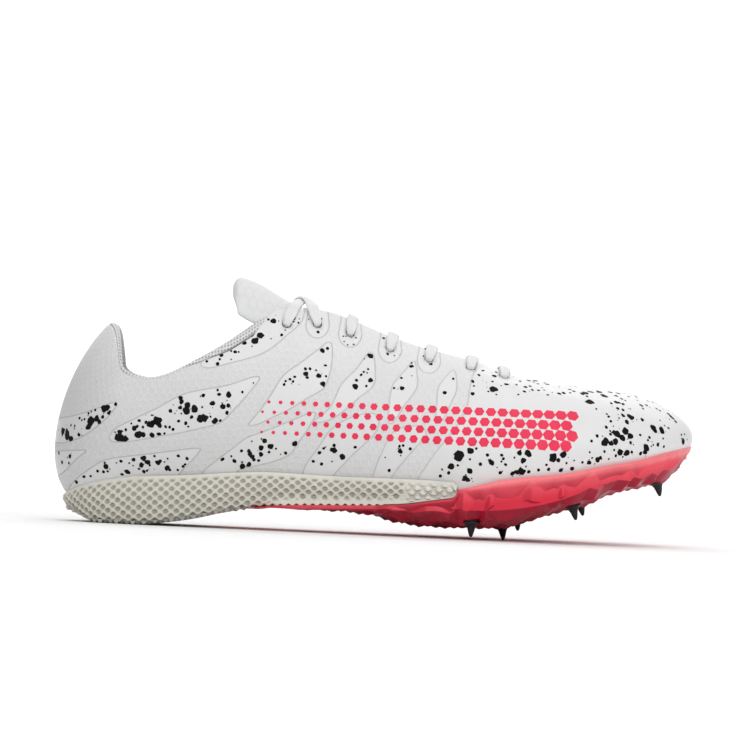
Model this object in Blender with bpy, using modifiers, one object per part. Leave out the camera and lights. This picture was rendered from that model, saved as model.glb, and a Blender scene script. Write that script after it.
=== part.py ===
"""Track spike shoe for the right foot, size about EU 43.

A hollow one-piece upper laced over a tongue, a textured foam heel unit, a nylon spike plate with lugs,
an insole and seven screw-in pins.

Frame: +X towards the toe, +Z up, the outer side at -Y. The origin is on the floor, at the heel's flat spot.
Every piece follows the same outline and the same last, so a change of one size moves all that it touches.
"""

import math

import bmesh
import bpy
import numpy as np

# Driving sizes, in metres.
LENGTH = 0.285  # heel back to toe tip
HEEL_REST = 0.0277  # heel back to the origin
BALL_WIDTH = 0.093  # across the sole at the ball of the foot
RIM_HEIGHT = 0.0257  # floor to the top of the sole's side, at the arch
INSTEP_HEIGHT = 0.099  # floor to the top corner of the throat
UPPER_WALL = 0.0016
INSOLE_THICKNESS = 0.003
TONGUE_THICKNESS = 0.0026
RIM_THICKNESS = 0.0022  # the sole's side where it wraps the upper
GAP = 0.0003  # between pieces that touch
FOOT_INSET = RIM_THICKNESS + GAP
FOOT_STAND = 0.0006  # the wall stays upright this far above the rim
CREST_RUN = 0.060  # length of surface that a rise of 1 stands for, along the flat top ahead of the throat
LUG_HEIGHT = 0.0018
PLATE_CROWN = 0.005  # how far the plate's edge lies above its middle
TOE_FLATTER = 0.6  # share of that crown that is lost under the toes
LACE_WIDTH = 0.0050
LACE_THICKNESS = 0.0015
EYELET_RADIUS = 0.0021
EYELET_INSET = 0.0085  # from the throat's edge to an eyelet's middle
EYELET_SIDES = 10
PIN_LENGTH = 0.007
PIN_FLANGE_RADIUS = 0.0039
PIN_TIP_RADIUS = 0.0005
PIN_STUD_RADIUS = 0.0024
PIN_STUD_LENGTH = 0.0018
PIN_CLEARANCE = 0.0005  # round the flange and the stud, in the plate
PIN_SIDES = 10

# The outline of the sole. Station and half-widths are shares of its length and of BALL_WIDTH.
OUTLINE_START = 0.012  # share of LENGTH from the heel back
OUTLINE = [
    # station, outer, inner
    (0.000, 0.000, 0.000),
    (0.030, 0.205, 0.200),
    (0.080, 0.293, 0.285),
    (0.150, 0.337, 0.322),
    (0.250, 0.347, 0.315),
    (0.360, 0.352, 0.280),
    (0.470, 0.385, 0.290),
    (0.580, 0.448, 0.368),
    (0.670, 0.490, 0.445),
    (0.750, 0.485, 0.490),
    (0.830, 0.425, 0.490),
    (0.900, 0.320, 0.440),
    (0.950, 0.205, 0.360),
    (0.985, 0.070, 0.250),
    (1.000, -0.090, 0.090),
]

# The side view of the sole. Station is a share of LENGTH, heights are shares of RIM_HEIGHT above the floor.
SIDE = [
    # station, rim, bed
    (0.000, 0.37, 0.22),
    (0.016, 0.48, 0.30),
    (0.037, 0.61, 0.40),
    (0.073, 0.73, 0.47),
    (0.120, 0.83, 0.53),
    (0.168, 0.87, 0.57),
    (0.264, 0.96, 0.67),
    (0.319, 1.01, 0.73),
    (0.414, 1.00, 0.74),
    (0.493, 1.00, 0.69),
    (0.600, 1.00, 0.56),
    (0.660, 1.00, 0.52),
    (0.716, 1.10, 0.57),
    (0.800, 1.23, 0.80),
    (0.855, 1.37, 1.05),
    (0.910, 1.50, 1.26),
    (0.966, 1.68, 1.47),
    (1.000, 1.78, 1.58),
]

# The floor side of the sole at its middle line, without lugs, and the line where heel unit and plate meet.
# Behind the plate the parting line is the heel unit's own underside.
UNDER = [
    # station, underside, parting line
    (0.000, 0.43, 0.40),
    (0.020, 0.20, 0.20),
    (0.043, 0.10, 0.10),
    (0.055, 0.04, 0.04),
    (0.070, 0.00, 0.00),
    (0.130, 0.00, 0.00),
    (0.165, 0.03, 0.04),
    (0.195, 0.07, 0.09),
    (0.227, 0.12, 0.16),
    (0.258, 0.19, 0.25),
    (0.290, 0.26, 0.33),
    (0.315, 0.31, 0.40),
    (0.365, 0.37, 0.475),
    (0.440, 0.37, 0.515),
    (0.495, 0.33, 0.54),
    (0.545, 0.21, 0.58),
    (0.600, 0.17, 0.68),
    (0.655, 0.18, 0.78),
    (0.705, 0.20, 0.85),
    (0.745, 0.34, 0.95),
    (0.792, 0.52, 1.05),
    (0.837, 0.67, 1.15),
    (0.870, 0.86, 1.20),
    (0.915, 1.00, 1.30),
    (0.940, 1.06, 1.35),
    (0.962, 1.16, 1.45),
    (0.985, 1.42, 1.60),
    (1.000, 1.62, 1.70),
]

# The top line of the upper, and the fullness of its wall. Turn runs from the heel back, 0, to the toe, 1.
# x is a share of LENGTH from the heel back, half and the outs are shares of BALL_WIDTH, and heights are
# shares of INSTEP_HEIGHT.
TOP = [
    # turn, x, half, height
    (0.00, 0.077, 0.000, 0.912),
    (0.05, 0.083, 0.092, 0.902),
    (0.10, 0.089, 0.168, 0.853),
    (0.15, 0.093, 0.232, 0.768),
    (0.20, 0.106, 0.272, 0.693),
    (0.25, 0.152, 0.294, 0.673),
    (0.30, 0.209, 0.297, 0.752),
    (0.35, 0.274, 0.270, 0.873),
    (0.40, 0.340, 0.190, 0.998),
    (0.45, 0.423, 0.150, 0.998),
    (0.50, 0.504, 0.136, 0.915),
    (0.55, 0.583, 0.122, 0.849),
    (0.60, 0.658, 0.108, 0.800),
    (0.65, 0.728, 0.096, 0.741),
    (0.70, 0.787, 0.090, 0.717),
    (0.75, 0.824, 0.086, 0.706),
    (0.80, 0.849, 0.076, 0.701),
    (0.85, 0.870, 0.060, 0.696),
    (0.90, 0.885, 0.040, 0.691),
    (0.95, 0.894, 0.018, 0.688),
    (1.00, 0.897, 0.000, 0.687),
]
FULLNESS = [
    # turn, low out outer, low out inner, low rise, top out, top drop
    (0.00, 0.160, 0.160, 0.115, 0.225, 0.200),
    (0.10, 0.122, 0.122, 0.130, 0.140, 0.210),
    (0.20, 0.085, 0.088, 0.155, 0.050, 0.200),
    (0.25, 0.070, 0.080, 0.150, 0.038, 0.200),
    (0.30, 0.065, 0.085, 0.170, 0.055, 0.225),
    (0.35, 0.060, 0.095, 0.210, 0.085, 0.245),
    (0.40, 0.055, 0.110, 0.245, 0.130, 0.205),
    (0.45, 0.055, 0.110, 0.230, 0.160, 0.165),
    (0.50, 0.058, 0.095, 0.210, 0.190, 0.125),
    (0.55, 0.060, 0.075, 0.190, 0.215, 0.095),
    (0.60, 0.060, 0.060, 0.170, 0.240, 0.060),
    (0.65, 0.060, 0.055, 0.160, 0.265, 0.025),
    (0.70, 0.058, 0.052, 0.145, 0.280, 0.000),
    (0.80, 0.054, 0.052, 0.130, 0.215, 0.000),
    (0.90, 0.066, 0.066, 0.120, 0.125, 0.000),
    (1.00, 0.080, 0.080, 0.120, 0.075, 0.000),
]
THROAT_END = 0.742  # front of the throat, a share of LENGTH
THROAT_ROUND = 0.030  # length of its rounded front
THROAT_STEPS = (0.35, 0.06, 0.0)  # columns of that front, in shares of its length behind its end
HEEL_CROWDING = 0.25  # share of the upper's columns that is crowded towards the heel back
LOWEST_RISE = 0.3  # an eyelet is never set lower on the wall than this
CREST_SHIFT = 0.080  # how far the toe's crest leans to the inner side, a share of BALL_WIDTH

# The heel unit has a floor as far as HEEL_FLOOR_END. Ahead of it a blunt horn runs along each side.
HEEL_FLOOR_END = 0.500
HEEL_UNIT_END = 0.630
HEEL_UNIT_TAPER = 0.020
PLATE_START = 0.235
PLATE_STEP = 0.0008  # length of each step of the plate, ahead of the heel unit's floor and of its horns
PLATE_SKIN = 0.0010  # least thickness of the plate
PLATE_EDGE = 0.0024  # least height of the plate's side
HEEL_FLOOR_BACK = 0.0024  # the heel unit's floor ends this far behind the plate's step
HORN_POINTS = 7  # points of the heel unit's half section that make a horn
HORN_BLUNT = 0.10  # share of RIM_HEIGHT that a horn's end loses above and below

# The side of the heel unit, from its rim to its floor: inset from the outline, share of the way down, and
# how much each of the two changes where the unit has a floor.
HEEL_SIDE = [
    (RIM_THICKNESS, 0.0, 0.0, 0.0),
    (0.0008, 0.0, 0.0, 0.0),
    (0.0, 0.06, 0.0, 0.0),
    (-0.0012, 0.35, 0.0, 0.0),
    (-0.0004, 0.62, 0.0, 0.0),
    (0.0012, 0.94, 0.0012, -0.10),
    (0.0070, 0.96, 0.0, 0.0),
    (0.0135, 1.0, 0.0, 0.0),
]

# The side of the plate, from its rim down: inset from the outline, share of the way down, and how much each
# of the two changes from a valley to a ridge.
PLATE_SIDE = [
    (0.0006, 0.0, 0.0, 0.0),
    (0.0, 0.08, 0.0, 0.0),
    (0.0002, 0.30, -0.0010, 0.14),
    (0.0030, 0.66, -0.0026, 0.10),
    (0.0062, 0.94, -0.0024, -0.04),
]
UNDERSIDE_INSET = 0.0115  # where the plate's side has turned into its underside

# Zones of the plate: under the heel unit's floor, under its horns, and open with a rim of its own.
UNDER_FLOOR, UNDER_HORNS, OPEN_CUP = 0, 1, 2
BED, UNDERSIDE = "bed", "underside"

# Pins: station, place across (share of BALL_WIDTH, outer side negative), lean towards the toe in degrees.
PINS = [
    ("pin_ball_outer", 0.655, -0.360, 0.0),
    ("pin_ball_middle", 0.705, -0.010, 7.0),
    ("pin_ball_inner", 0.730, 0.340, 6.0),
    ("pin_fore_outer", 0.812, -0.255, 16.0),
    ("pin_fore_inner", 0.828, 0.290, 16.0),
    ("pin_toe_outer", 0.945, -0.010, 16.0),
    ("pin_toe_inner", 0.949, 0.250, 16.0),
]
# The cone of a pin, from its flange to its tip: shares of PIN_FLANGE_RADIUS and of PIN_LENGTH.
PIN_CONE = [(1.0, 0.0), (0.92, 0.14), (0.50, 0.42), (0.28, 0.72)]
# Eyelets: share of LENGTH, from the top pair to the front pair.
EYELETS = [0.352, 0.402, 0.454, 0.519, 0.582, 0.646, 0.696]

# The lace's path, in shares of the way across from an outer eyelet to an inner one.
LACE_PATH = [0.0, 0.08, 0.16, 0.24, 0.34, 0.50, 0.66, 0.76, 0.84, 0.92, 1.0]
LACE_EDGE = 0.24  # share of the way across at which the lace passes the throat's edge
LACE_CROSS_RISE = 0.0030  # how far the top crossing rises over the tongue
LACE_FALL = 0.0010  # how far the lace sinks between the two edges
LACE_FLAT = 0.7  # share of the lace's width that is flat

# The tongue: station and heights as in TOP, half as a share of BALL_WIDTH.
TONGUE = [
    # station, half, middle height, fall at the edge
    (0.263, 0.080, 1.088, 0.030),
    (0.268, 0.150, 1.118, 0.100),
    (0.280, 0.195, 1.134, 0.165),
    (0.300, 0.212, 1.118, 0.180),
    (0.345, 0.200, 1.050, 0.125),
    (0.375, 0.188, 1.012, 0.110),
    (0.402, 0.178, 0.992, 0.100),
    (0.454, 0.165, 0.945, 0.095),
    (0.519, 0.160, 0.883, 0.090),
    (0.582, 0.155, 0.830, 0.080),
    (0.646, 0.145, 0.788, 0.070),
    (0.700, 0.130, 0.748, 0.055),
    (0.728, 0.110, 0.722, 0.040),
]
TONGUE_COLUMNS = 8

OUTER, INNER = -1.0, 1.0
UPPER_COLUMNS = 32
UPPER_ROWS = 9
ACROSS = 6  # spans of the sole between its two sides


def natural_spline(rows, column):
    """A smooth curve through one column of a table, as a function of the table's first column."""
    x = np.array([row[0] for row in rows], float)
    y = np.array([row[column] for row in rows], float)
    step = np.diff(x)
    slope = np.diff(y) / step
    count = len(x)
    left = np.eye(count)
    right = np.zeros(count)
    for i in range(1, count - 1):
        left[i, i - 1 : i + 2] = step[i - 1], 2 * (step[i - 1] + step[i]), step[i]
        right[i] = 6 * (slope[i] - slope[i - 1])
    bend = np.linalg.solve(left, right)

    def curve(at):
        at = np.clip(at, x[0], x[-1])
        i = np.clip(np.searchsorted(x, at) - 1, 0, count - 2)
        before, after = at - x[i], x[i + 1] - at
        return (
            (bend[i] * after**3 + bend[i + 1] * before**3) / (6 * step[i])
            + (y[i] / step[i] - bend[i] * step[i] / 6) * after
            + (y[i + 1] / step[i] - bend[i + 1] * step[i] / 6) * before
        )

    return curve


def even_curve(rows, column):
    """A curve through one column of a table that never swings past a row's value: flat runs stay flat."""
    x = np.array([row[0] for row in rows], float)
    y = np.array([row[column] for row in rows], float)
    step, slope = np.diff(x), np.diff(y) / np.diff(x)
    tangent = np.zeros(len(x))
    for i in range(1, len(x) - 1):
        if slope[i - 1] * slope[i] > 0:
            tangent[i] = 2 * slope[i - 1] * slope[i] / (slope[i - 1] + slope[i])
    tangent[0], tangent[-1] = slope[0], slope[-1]

    def curve(at):
        at = np.clip(at, x[0], x[-1])
        i = np.clip(np.searchsorted(x, at) - 1, 0, len(x) - 2)
        t = (at - x[i]) / step[i]
        rise = y[i] * (1 - t) ** 2 * (1 + 2 * t) + y[i + 1] * t**2 * (3 - 2 * t)
        return rise + step[i] * t * (1 - t) * (tangent[i] * (1 - t) - tangent[i + 1] * t)

    return curve


def place(station):
    """The x of a share of LENGTH from the heel back."""
    return station * LENGTH - HEEL_REST


def station_of(x):
    return (x + HEEL_REST) / LENGTH


def turn_of_station(station):
    """The turn, 0 at the heel back and 1 at the toe, at which the outline passes a station."""
    share = np.clip((station - OUTLINE_START) / (1 - OUTLINE_START), 0, 1)
    return np.arccos(1 - 2 * share) / math.pi


_turned = [(math.acos(1 - 2 * row[0]) / math.pi, row[1], row[2]) for row in OUTLINE]
_half_width = {OUTER: natural_spline(_turned, 1), INNER: natural_spline(_turned, 2)}
_rim, _bed = natural_spline(SIDE, 1), natural_spline(SIDE, 2)
_under, _parting = even_curve(UNDER, 1), even_curve(UNDER, 2)
_top_x, _top_half, _top_z = (natural_spline(TOP, column) for column in (1, 2, 3))
_low_out = {OUTER: natural_spline(FULLNESS, 1), INNER: natural_spline(FULLNESS, 2)}
_low_rise, _top_out, _top_drop = (natural_spline(FULLNESS, column) for column in (3, 4, 5))


def rim_height(x):
    return RIM_HEIGHT * _rim(station_of(x))


def bed_height(x):
    return RIM_HEIGHT * _bed(station_of(x))


def under_height(x):
    return RIM_HEIGHT * _under(station_of(x))


def parting_height(x):
    return RIM_HEIGHT * _parting(station_of(x))


def outline(side, turn, inset=0.0):
    """A point of the sole's outline in plan, moved inwards by inset, and the outline's outward normal."""

    def raw(at):
        share = (1 - math.cos(math.pi * at)) / 2
        x = place(OUTLINE_START + (1 - OUTLINE_START) * share)
        return np.array([x, side * float(_half_width[side](at)) * BALL_WIDTH])

    nudge = 0.004
    along = raw(min(turn + nudge, 1.0)) - raw(max(turn - nudge, 0.0))
    if turn < nudge:
        along = np.array([0.0, side])
    elif turn > 1 - nudge:
        along = np.array([0.0, -side])
    normal = side * np.array([-along[1], along[0]])
    normal = normal / np.linalg.norm(normal)
    return raw(turn) - normal * inset, normal


def top_edge(side, turn, rounded=True):
    """A point of the upper's top line: collar, then throat, then the crest over the toes.

    Without rounding it is the line that the throat's edge would follow, and the surface is shaped
    towards it.
    """
    station = float(_top_x(turn))
    past = float(np.clip((station - (THROAT_END - THROAT_ROUND)) / THROAT_ROUND, 0, 1)) if rounded else 0.0
    half = float(_top_half(turn)) * BALL_WIDTH * math.sqrt(1 - past**2)
    lean = float(np.clip((station - THROAT_END) / (0.9 - THROAT_END), 0, 1))
    crest = CREST_SHIFT * BALL_WIDTH * lean**1.3
    return np.array([place(station), crest + side * half, float(_top_z(turn)) * INSTEP_HEIGHT])


def crest_slope(turn):
    """How steeply the crest falls towards the toe. It fades in ahead of the throat."""
    ahead = top_edge(OUTER, min(turn + 0.01, 1.0)) - top_edge(OUTER, max(turn - 0.01, 0.0))
    return ahead[2] / max(ahead[0], 1e-6) * float(np.clip((turn - 0.60) / 0.14, 0, 1))


def upper_point(side, turn, rise):
    """A point of the upper's outer face. Rise is 0 just above the rim and 1 at the top line."""
    (x, y), normal = outline(side, turn, FOOT_INSET)
    foot = np.array([x, y, float(rim_height(x)) + FOOT_STAND])
    top, edge = top_edge(side, turn, False), top_edge(side, turn)
    out = np.array([normal[0], normal[1], 0.0])
    up = np.array([0.0, 0.0, 1.0])
    low = foot + out * float(_low_out[side](turn)) * BALL_WIDTH + up * float(_low_rise(turn)) * INSTEP_HEIGHT
    over = np.array([normal[0], normal[1], crest_slope(turn) * normal[0]])
    high = top + over * float(_top_out(turn)) * BALL_WIDTH - up * float(_top_drop(turn)) * INSTEP_HEIGHT
    flat = float(np.linalg.norm(edge - top)) / CREST_RUN
    rise = rise * (1 + flat)
    if rise > 1:
        return top + (edge - top) * (rise - 1) / flat
    rest = 1 - rise
    return rest**3 * foot + 3 * rest**2 * rise * low + 3 * rest * rise**2 * high + rise**3 * top


def surface_frame(side, turn, rise):
    """A point of the upper's outer face, and its outward normal."""
    step = 0.01
    across = upper_point(side, turn, min(rise + step, 1)) - upper_point(side, turn, max(rise - step, 0))
    along = upper_point(side, min(turn + step, 1), rise) - upper_point(side, max(turn - step, 0), rise)
    normal = np.cross(along, across) * side * -1
    return upper_point(side, turn, rise), normal / np.linalg.norm(normal)


def material(name, colour, roughness, metallic=0.0):
    found = bpy.data.materials.new(name)
    found.use_nodes = True
    shader = found.node_tree.nodes["Principled BSDF"]
    shader.inputs["Base Color"].default_value = (*colour, 1.0)
    shader.inputs["Roughness"].default_value = roughness
    shader.inputs["Metallic"].default_value = metallic
    return found


def new_collection(name):
    made = bpy.data.collections.new(name)
    bpy.context.scene.collection.children.link(made)
    return made


def add_object(name, mesh, collection, finish=None):
    made = bpy.data.objects.new(name, mesh)
    collection.objects.link(made)
    if finish:
        mesh.materials.append(finish)
    return made


def mesh_from(name, shape, merge=1e-5):
    """A closed mesh from a bmesh: doubles merged, thin faces gone, normals outwards."""
    bmesh.ops.remove_doubles(shape, verts=shape.verts, dist=merge)
    bmesh.ops.dissolve_degenerate(shape, edges=shape.edges, dist=merge)
    bmesh.ops.recalc_face_normals(shape, faces=shape.faces)
    if shape.calc_volume(signed=True) < 0:
        bmesh.ops.reverse_faces(shape, faces=shape.faces)
    mesh = bpy.data.meshes.new(name)
    shape.to_mesh(mesh)
    shape.free()
    return mesh


def skin(shape, rows, ring=True):
    """Faces between rows of points. Each row joins the next, and closes on itself where ring is true."""
    made = [[shape.verts.new(point) for point in row] for row in rows]
    for before, after in zip(made, made[1:]):
        last = len(before) if ring else len(before) - 1
        for j in range(last):
            k = (j + 1) % len(before)
            shape.faces.new((before[j], before[k], after[k], after[j]))
    return made


def boolean(target, cutters, operation):
    for cutter in cutters:
        change = target.modifiers.new("cut " + cutter.name, "BOOLEAN")
        change.object = cutter
        change.operation = operation
        cutter.hide_render = True
        cutter.display_type = "WIRE"


def upper_skin(columns, rows):
    """The open outer face of the upper, as one mesh wound round from the outer side to the inner one."""
    shares = [i / columns for i in range(columns + 1)]
    turns = [
        math.sin(share * math.pi / 2) ** 2 * HEEL_CROWDING + share * (1 - HEEL_CROWDING) for share in shares
    ]
    fine = np.linspace(0.6, 0.75, 300)
    rounds = [THROAT_END - THROAT_ROUND * share for share in THROAT_STEPS]
    ends = [float(np.interp(station, [float(_top_x(turn)) for turn in fine], fine)) for station in rounds]
    turns = sorted([turn for turn in turns if min(abs(turn - end) for end in ends) > 0.008] + ends)
    shape = bmesh.new()
    for side in (OUTER, INNER):
        lines = []
        for turn in turns:
            (x, y), _ = outline(side, turn, FOOT_INSET)
            (inside, _), _ = outline(side, turn, FOOT_INSET + UPPER_WALL)
            line = [(x, y, max(float(bed_height(x)), float(bed_height(inside))) + GAP)]
            line += [upper_point(side, turn, j / rows) for j in range(rows + 1)]
            lines.append(line)
        skin(shape, lines, ring=False)
    bmesh.ops.remove_doubles(shape, verts=shape.verts, dist=2e-5)
    return shape


def build_upper(collection, cutters, finish):
    shape = upper_skin(UPPER_COLUMNS, UPPER_ROWS)
    bmesh.ops.recalc_face_normals(shape, faces=shape.faces)
    mesh = bpy.data.meshes.new("upper")
    shape.to_mesh(mesh)
    shape.free()
    upper = add_object("upper", mesh, collection, finish)
    wall = upper.modifiers.new("wall", "SOLIDIFY")
    wall.thickness = UPPER_WALL
    wall.offset = -1
    wall.use_even_offset = True
    sides = (OUTER, INNER)
    holes = [eyelet_cutter(side, place(share), cutters) for side in sides for share in EYELETS]
    boolean(upper, holes, "DIFFERENCE")
    return upper


def eyelet_frame(side, x):
    """Middle and outward normal of the eyelet whose top edge is at x."""
    turns = np.linspace(0.3, 0.75, 400)
    turn = float(turns[np.argmin([abs(top_edge(side, t)[0] - x) for t in turns])])
    rise, walked = 1.0, 0.0
    before = upper_point(side, turn, rise)
    while walked < EYELET_INSET and rise > LOWEST_RISE:
        rise -= 0.002
        here = upper_point(side, turn, rise)
        walked += float(np.linalg.norm(here - before))
        before = here
    point, normal = surface_frame(side, turn, rise)
    return point, normal, turn, rise


def eyelet_cutter(side, x, cutters):
    point, normal, _, _ = eyelet_frame(side, x)
    shape = bmesh.new()
    bmesh.ops.create_cone(
        shape,
        cap_ends=True,
        segments=EYELET_SIDES,
        radius1=EYELET_RADIUS,
        radius2=EYELET_RADIUS,
        depth=UPPER_WALL * 5,
    )
    turned = rotation_to(normal)
    for vertex in shape.verts:
        vertex.co = point + turned @ np.array(vertex.co)
    name = "eyelet_cut_outer" if side == OUTER else "eyelet_cut_inner"
    return add_object(f"{name}_{x:.3f}", mesh_from(name, shape), cutters)


def rotation_to(axis):
    """A rotation that takes +Z to the axis."""
    helper = np.array([1.0, 0.0, 0.0]) if abs(axis[0]) < 0.9 else np.array([0.0, 1.0, 0.0])
    side = np.cross(helper, axis)
    side = side / np.linalg.norm(side)
    return np.column_stack([side, np.cross(axis, side), axis])


def section(half_profile, turn, across):
    """One closed section of a sole piece: the outer profile, the way across, the inner profile, and back.

    half_profile(side, turn) runs from the top's inner edge, over the side, to the underside's inner edge.
    across(start, end, share, floor) is a point between the two edges; floor is true on the underside.
    """
    outer, inner = half_profile(OUTER, turn), half_profile(INNER, turn)
    shares = [(k + 1) / ACROSS for k in range(ACROSS - 1)]
    floor = [across(outer[-1], inner[-1], share, True) for share in shares]
    top = [across(inner[0], outer[0], share, False) for share in shares]
    return outer + floor + inner[::-1] + top


def even_turns(first, last, count):
    """Turns from one station to another, close to evenly spaced along the outline."""
    start, end = float(turn_of_station(first)), float(turn_of_station(last))
    fine = np.linspace(start, end, 400)
    points = np.array([outline(OUTER, float(t))[0] for t in fine])
    walked = np.concatenate([[0], np.cumsum(np.linalg.norm(np.diff(points, axis=0), axis=1))])
    return [float(t) for t in np.interp(np.linspace(0, walked[-1], count + 1), walked, fine)]


def crown(x):
    """The crown of the plate's underside. It is flatter under the toes."""
    return PLATE_CROWN * (1 - TOE_FLATTER * float(np.clip((station_of(x) - 0.75) / 0.13, 0, 1)))


def lift(x, y):
    """How far the plate's underside has risen from its middle line to a place across."""
    turn = float(turn_of_station(station_of(x)))
    outer, inner = (float(outline(side, turn)[0][1]) for side in (OUTER, INNER))
    half = max((inner - outer) / 2, 1e-4)
    return crown(x) * min(abs(y - (inner + outer) / 2) / half, 1.0) ** 3


def heel_unit_profile(side, turn):
    """Half a section of the heel unit: bed, rim, a full side and the floor."""
    (x, _), _ = outline(side, turn)
    left = np.clip((HEEL_UNIT_END - station_of(x)) / HEEL_UNIT_TAPER, 0, 1)
    blunt = HORN_BLUNT * RIM_HEIGHT * (1 - math.sqrt(1 - (1 - left) ** 2))
    floor = np.clip((HEEL_FLOOR_END - station_of(x)) / 0.08, 0, 1)
    rim = float(rim_height(x)) - blunt
    has_floor = station_of(x) < HEEL_FLOOR_END + 1e-4
    (px, py), _ = outline(side, turn, RIM_THICKNESS)
    bed = float(bed_height(px)) if has_floor else float(parting_height(px)) + blunt
    points = [np.array([px, py, bed])]
    for inset, down, inset_change, down_change in HEEL_SIDE:
        (px, py), _ = outline(side, turn, inset + inset_change * floor)
        low = float(parting_height(px)) + blunt
        points.append(np.array([px, py, rim - (down + down_change * floor) * (rim - low)]))
    return points


def straight_across(start, end, share, floor):
    return start + (end - start) * share


def build_heel_unit(collection, finish):
    body = even_turns(OUTLINE_START, HEEL_FLOOR_END - HEEL_FLOOR_BACK / LENGTH, 19)
    horn = even_turns(HEEL_FLOOR_END - HEEL_FLOOR_BACK / LENGTH, HEEL_UNIT_END - HEEL_UNIT_TAPER, 4)
    horn += even_turns(HEEL_UNIT_END - HEEL_UNIT_TAPER, HEEL_UNIT_END, 3)[1:]
    shape = bmesh.new()
    sections = [section(heel_unit_profile, turn, straight_across) for turn in body]
    skin(shape, sections)
    size, end = len(sections[-1]), len(heel_unit_profile(OUTER, 0.0))
    inner_first = end + (ACROSS - 1) + end - 1
    for side in (OUTER, INNER):
        rows = skin(shape, [heel_unit_profile(side, turn)[:HORN_POINTS] for turn in horn])
        shape.faces.new(rows[-1])
    under = list(range(HORN_POINTS - 1, inner_first - HORN_POINTS + 2))
    front = [0] + under + list(range(inner_first, size))
    shape.faces.new([shape.verts.new(sections[-1][k]) for k in front])
    bmesh.ops.remove_doubles(shape, verts=shape.verts, dist=1e-5)
    return add_object("heel_unit", mesh_from("heel_unit", shape), collection, finish)


def plate_top(x, zone):
    """Heights of the plate's rim and bed in one of its zones."""
    seat = float(parting_height(x)) - GAP
    if zone == UNDER_FLOOR:
        return seat, seat
    return (seat if zone == UNDER_HORNS else float(rim_height(x))), float(bed_height(x))


def plate_profile(side, turn, zone, ridge):
    """Half a section of the plate, from its bed over its rim to its underside.

    Ridge is 1 on a facet's ridge and 0 in the valley between two.
    """
    (x, _), _ = outline(side, turn)
    rim, bed = plate_top(x, zone)
    cup = RIM_THICKNESS + (GAP if bed > rim else 0.0)
    rows = [(cup, BED), (cup, 0.0)]
    rows += [(inset + more * ridge, down + lower * ridge) for inset, down, more, lower in PLATE_SIDE]
    rows.append((UNDERSIDE_INSET, UNDERSIDE))
    points = []
    for inset, down in rows:
        (px, py), _ = outline(side, turn, inset)
        rim, bed = plate_top(px, zone)
        low = float(under_height(px))
        edge = low + crown(px) * float(1 - np.clip((0.42 - station_of(px)) / 0.12, 0, 1))
        edge = min(edge, rim - PLATE_EDGE)
        if down == BED:
            height = bed
        elif down == UNDERSIDE:
            height = min(edge - 0.55 * (edge - low) + LUG_HEIGHT * 0.4 * (1 - ridge), bed - PLATE_SKIN)
        else:
            height = rim - down * (rim - edge)
            below_bed = max(bed - PLATE_SKIN - height, 0.0)
            inset = min(inset, cup if down == 0.0 else cup - PLATE_SKIN + 1.5 * below_bed)
            (px, py), _ = outline(side, turn, inset)
        points.append(np.array([px, py, height]))
    return points


def build_plate(collection, cutters, finish):
    step = PLATE_STEP / LENGTH
    columns = [(turn, UNDER_FLOOR) for turn in even_turns(PLATE_START, HEEL_FLOOR_END, 11)]
    columns += [(turn, UNDER_HORNS) for turn in even_turns(HEEL_FLOOR_END + step, HEEL_UNIT_END, 6)]
    columns += [(turn, OPEN_CUP) for turn in even_turns(HEEL_UNIT_END + step, 1.0, 25)]
    sections = []
    for index, (turn, zone) in enumerate(columns):
        ridge = (index - zone) % 2

        def across(start, end, share, floor, ridge=ridge, zone=zone):
            point = start + (end - start) * share
            if not floor:
                return point
            column = round(share * ACROSS)
            fade = np.clip((station_of(point[0]) - 0.40) / 0.1, 0, 1)
            fade *= np.clip((end[1] - start[1]) / BALL_WIDTH * 3 - 0.4, 0, 1)
            deep = LUG_HEIGHT * fade * (0.5 if (column + ridge) % 2 else -0.5)
            skin_height = float(under_height(point[0])) + lift(point[0], point[1]) + LUG_HEIGHT / 2 + deep
            point[2] = min(skin_height, plate_top(point[0], zone)[1] - PLATE_SKIN)
            return point

        def profile(side, at, zone=zone, ridge=ridge):
            return plate_profile(side, at, zone, ridge)

        sections.append(section(profile, turn, across))
    shape = bmesh.new()
    rows = skin(shape, sections)
    shape.faces.new(rows[0])
    bmesh.ops.remove_doubles(shape, verts=shape.verts, dist=1e-5)
    bmesh.ops.triangulate(shape, faces=shape.faces)
    plate = add_object("spike_plate", mesh_from("spike_plate", shape), collection, finish)
    boolean(plate, [pin_pocket(pin, cutters) for pin in PINS], "DIFFERENCE")
    return plate


def pin_frame(pin):
    """Where a pin's flange sits, and the way it points."""
    _, station, share, lean = pin
    x, y = place(station), share * BALL_WIDTH
    tilt = math.radians(lean)
    axis = np.array([math.sin(tilt), 0.0, -math.cos(tilt)])
    seat = float(under_height(x)) + lift(x, y) + PIN_SEAT
    return np.array([x, y, seat]), axis


# How far a flange is set above the plate's lug tips: the middle ball pin's tip is on the floor.
_, _ball_station, _, _ball_lean = PINS[1]
PIN_SEAT = PIN_LENGTH * math.cos(math.radians(_ball_lean)) - float(under_height(place(_ball_station)))


def turned_solid(profile, segments, point, axis):
    """A solid of revolution about an axis through a point. Profile is radius and distance along it."""
    turned = rotation_to(axis)
    shape = bmesh.new()
    rows = []
    for radius, along in profile:
        ring = []
        for k in range(segments):
            angle = 2 * math.pi * k / segments
            spoke = np.array([radius * math.cos(angle), radius * math.sin(angle), along])
            ring.append(point + turned @ spoke)
        rows.append(ring)
    made = skin(shape, rows)
    shape.faces.new(made[0])
    shape.faces.new(made[-1])
    return shape


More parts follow.
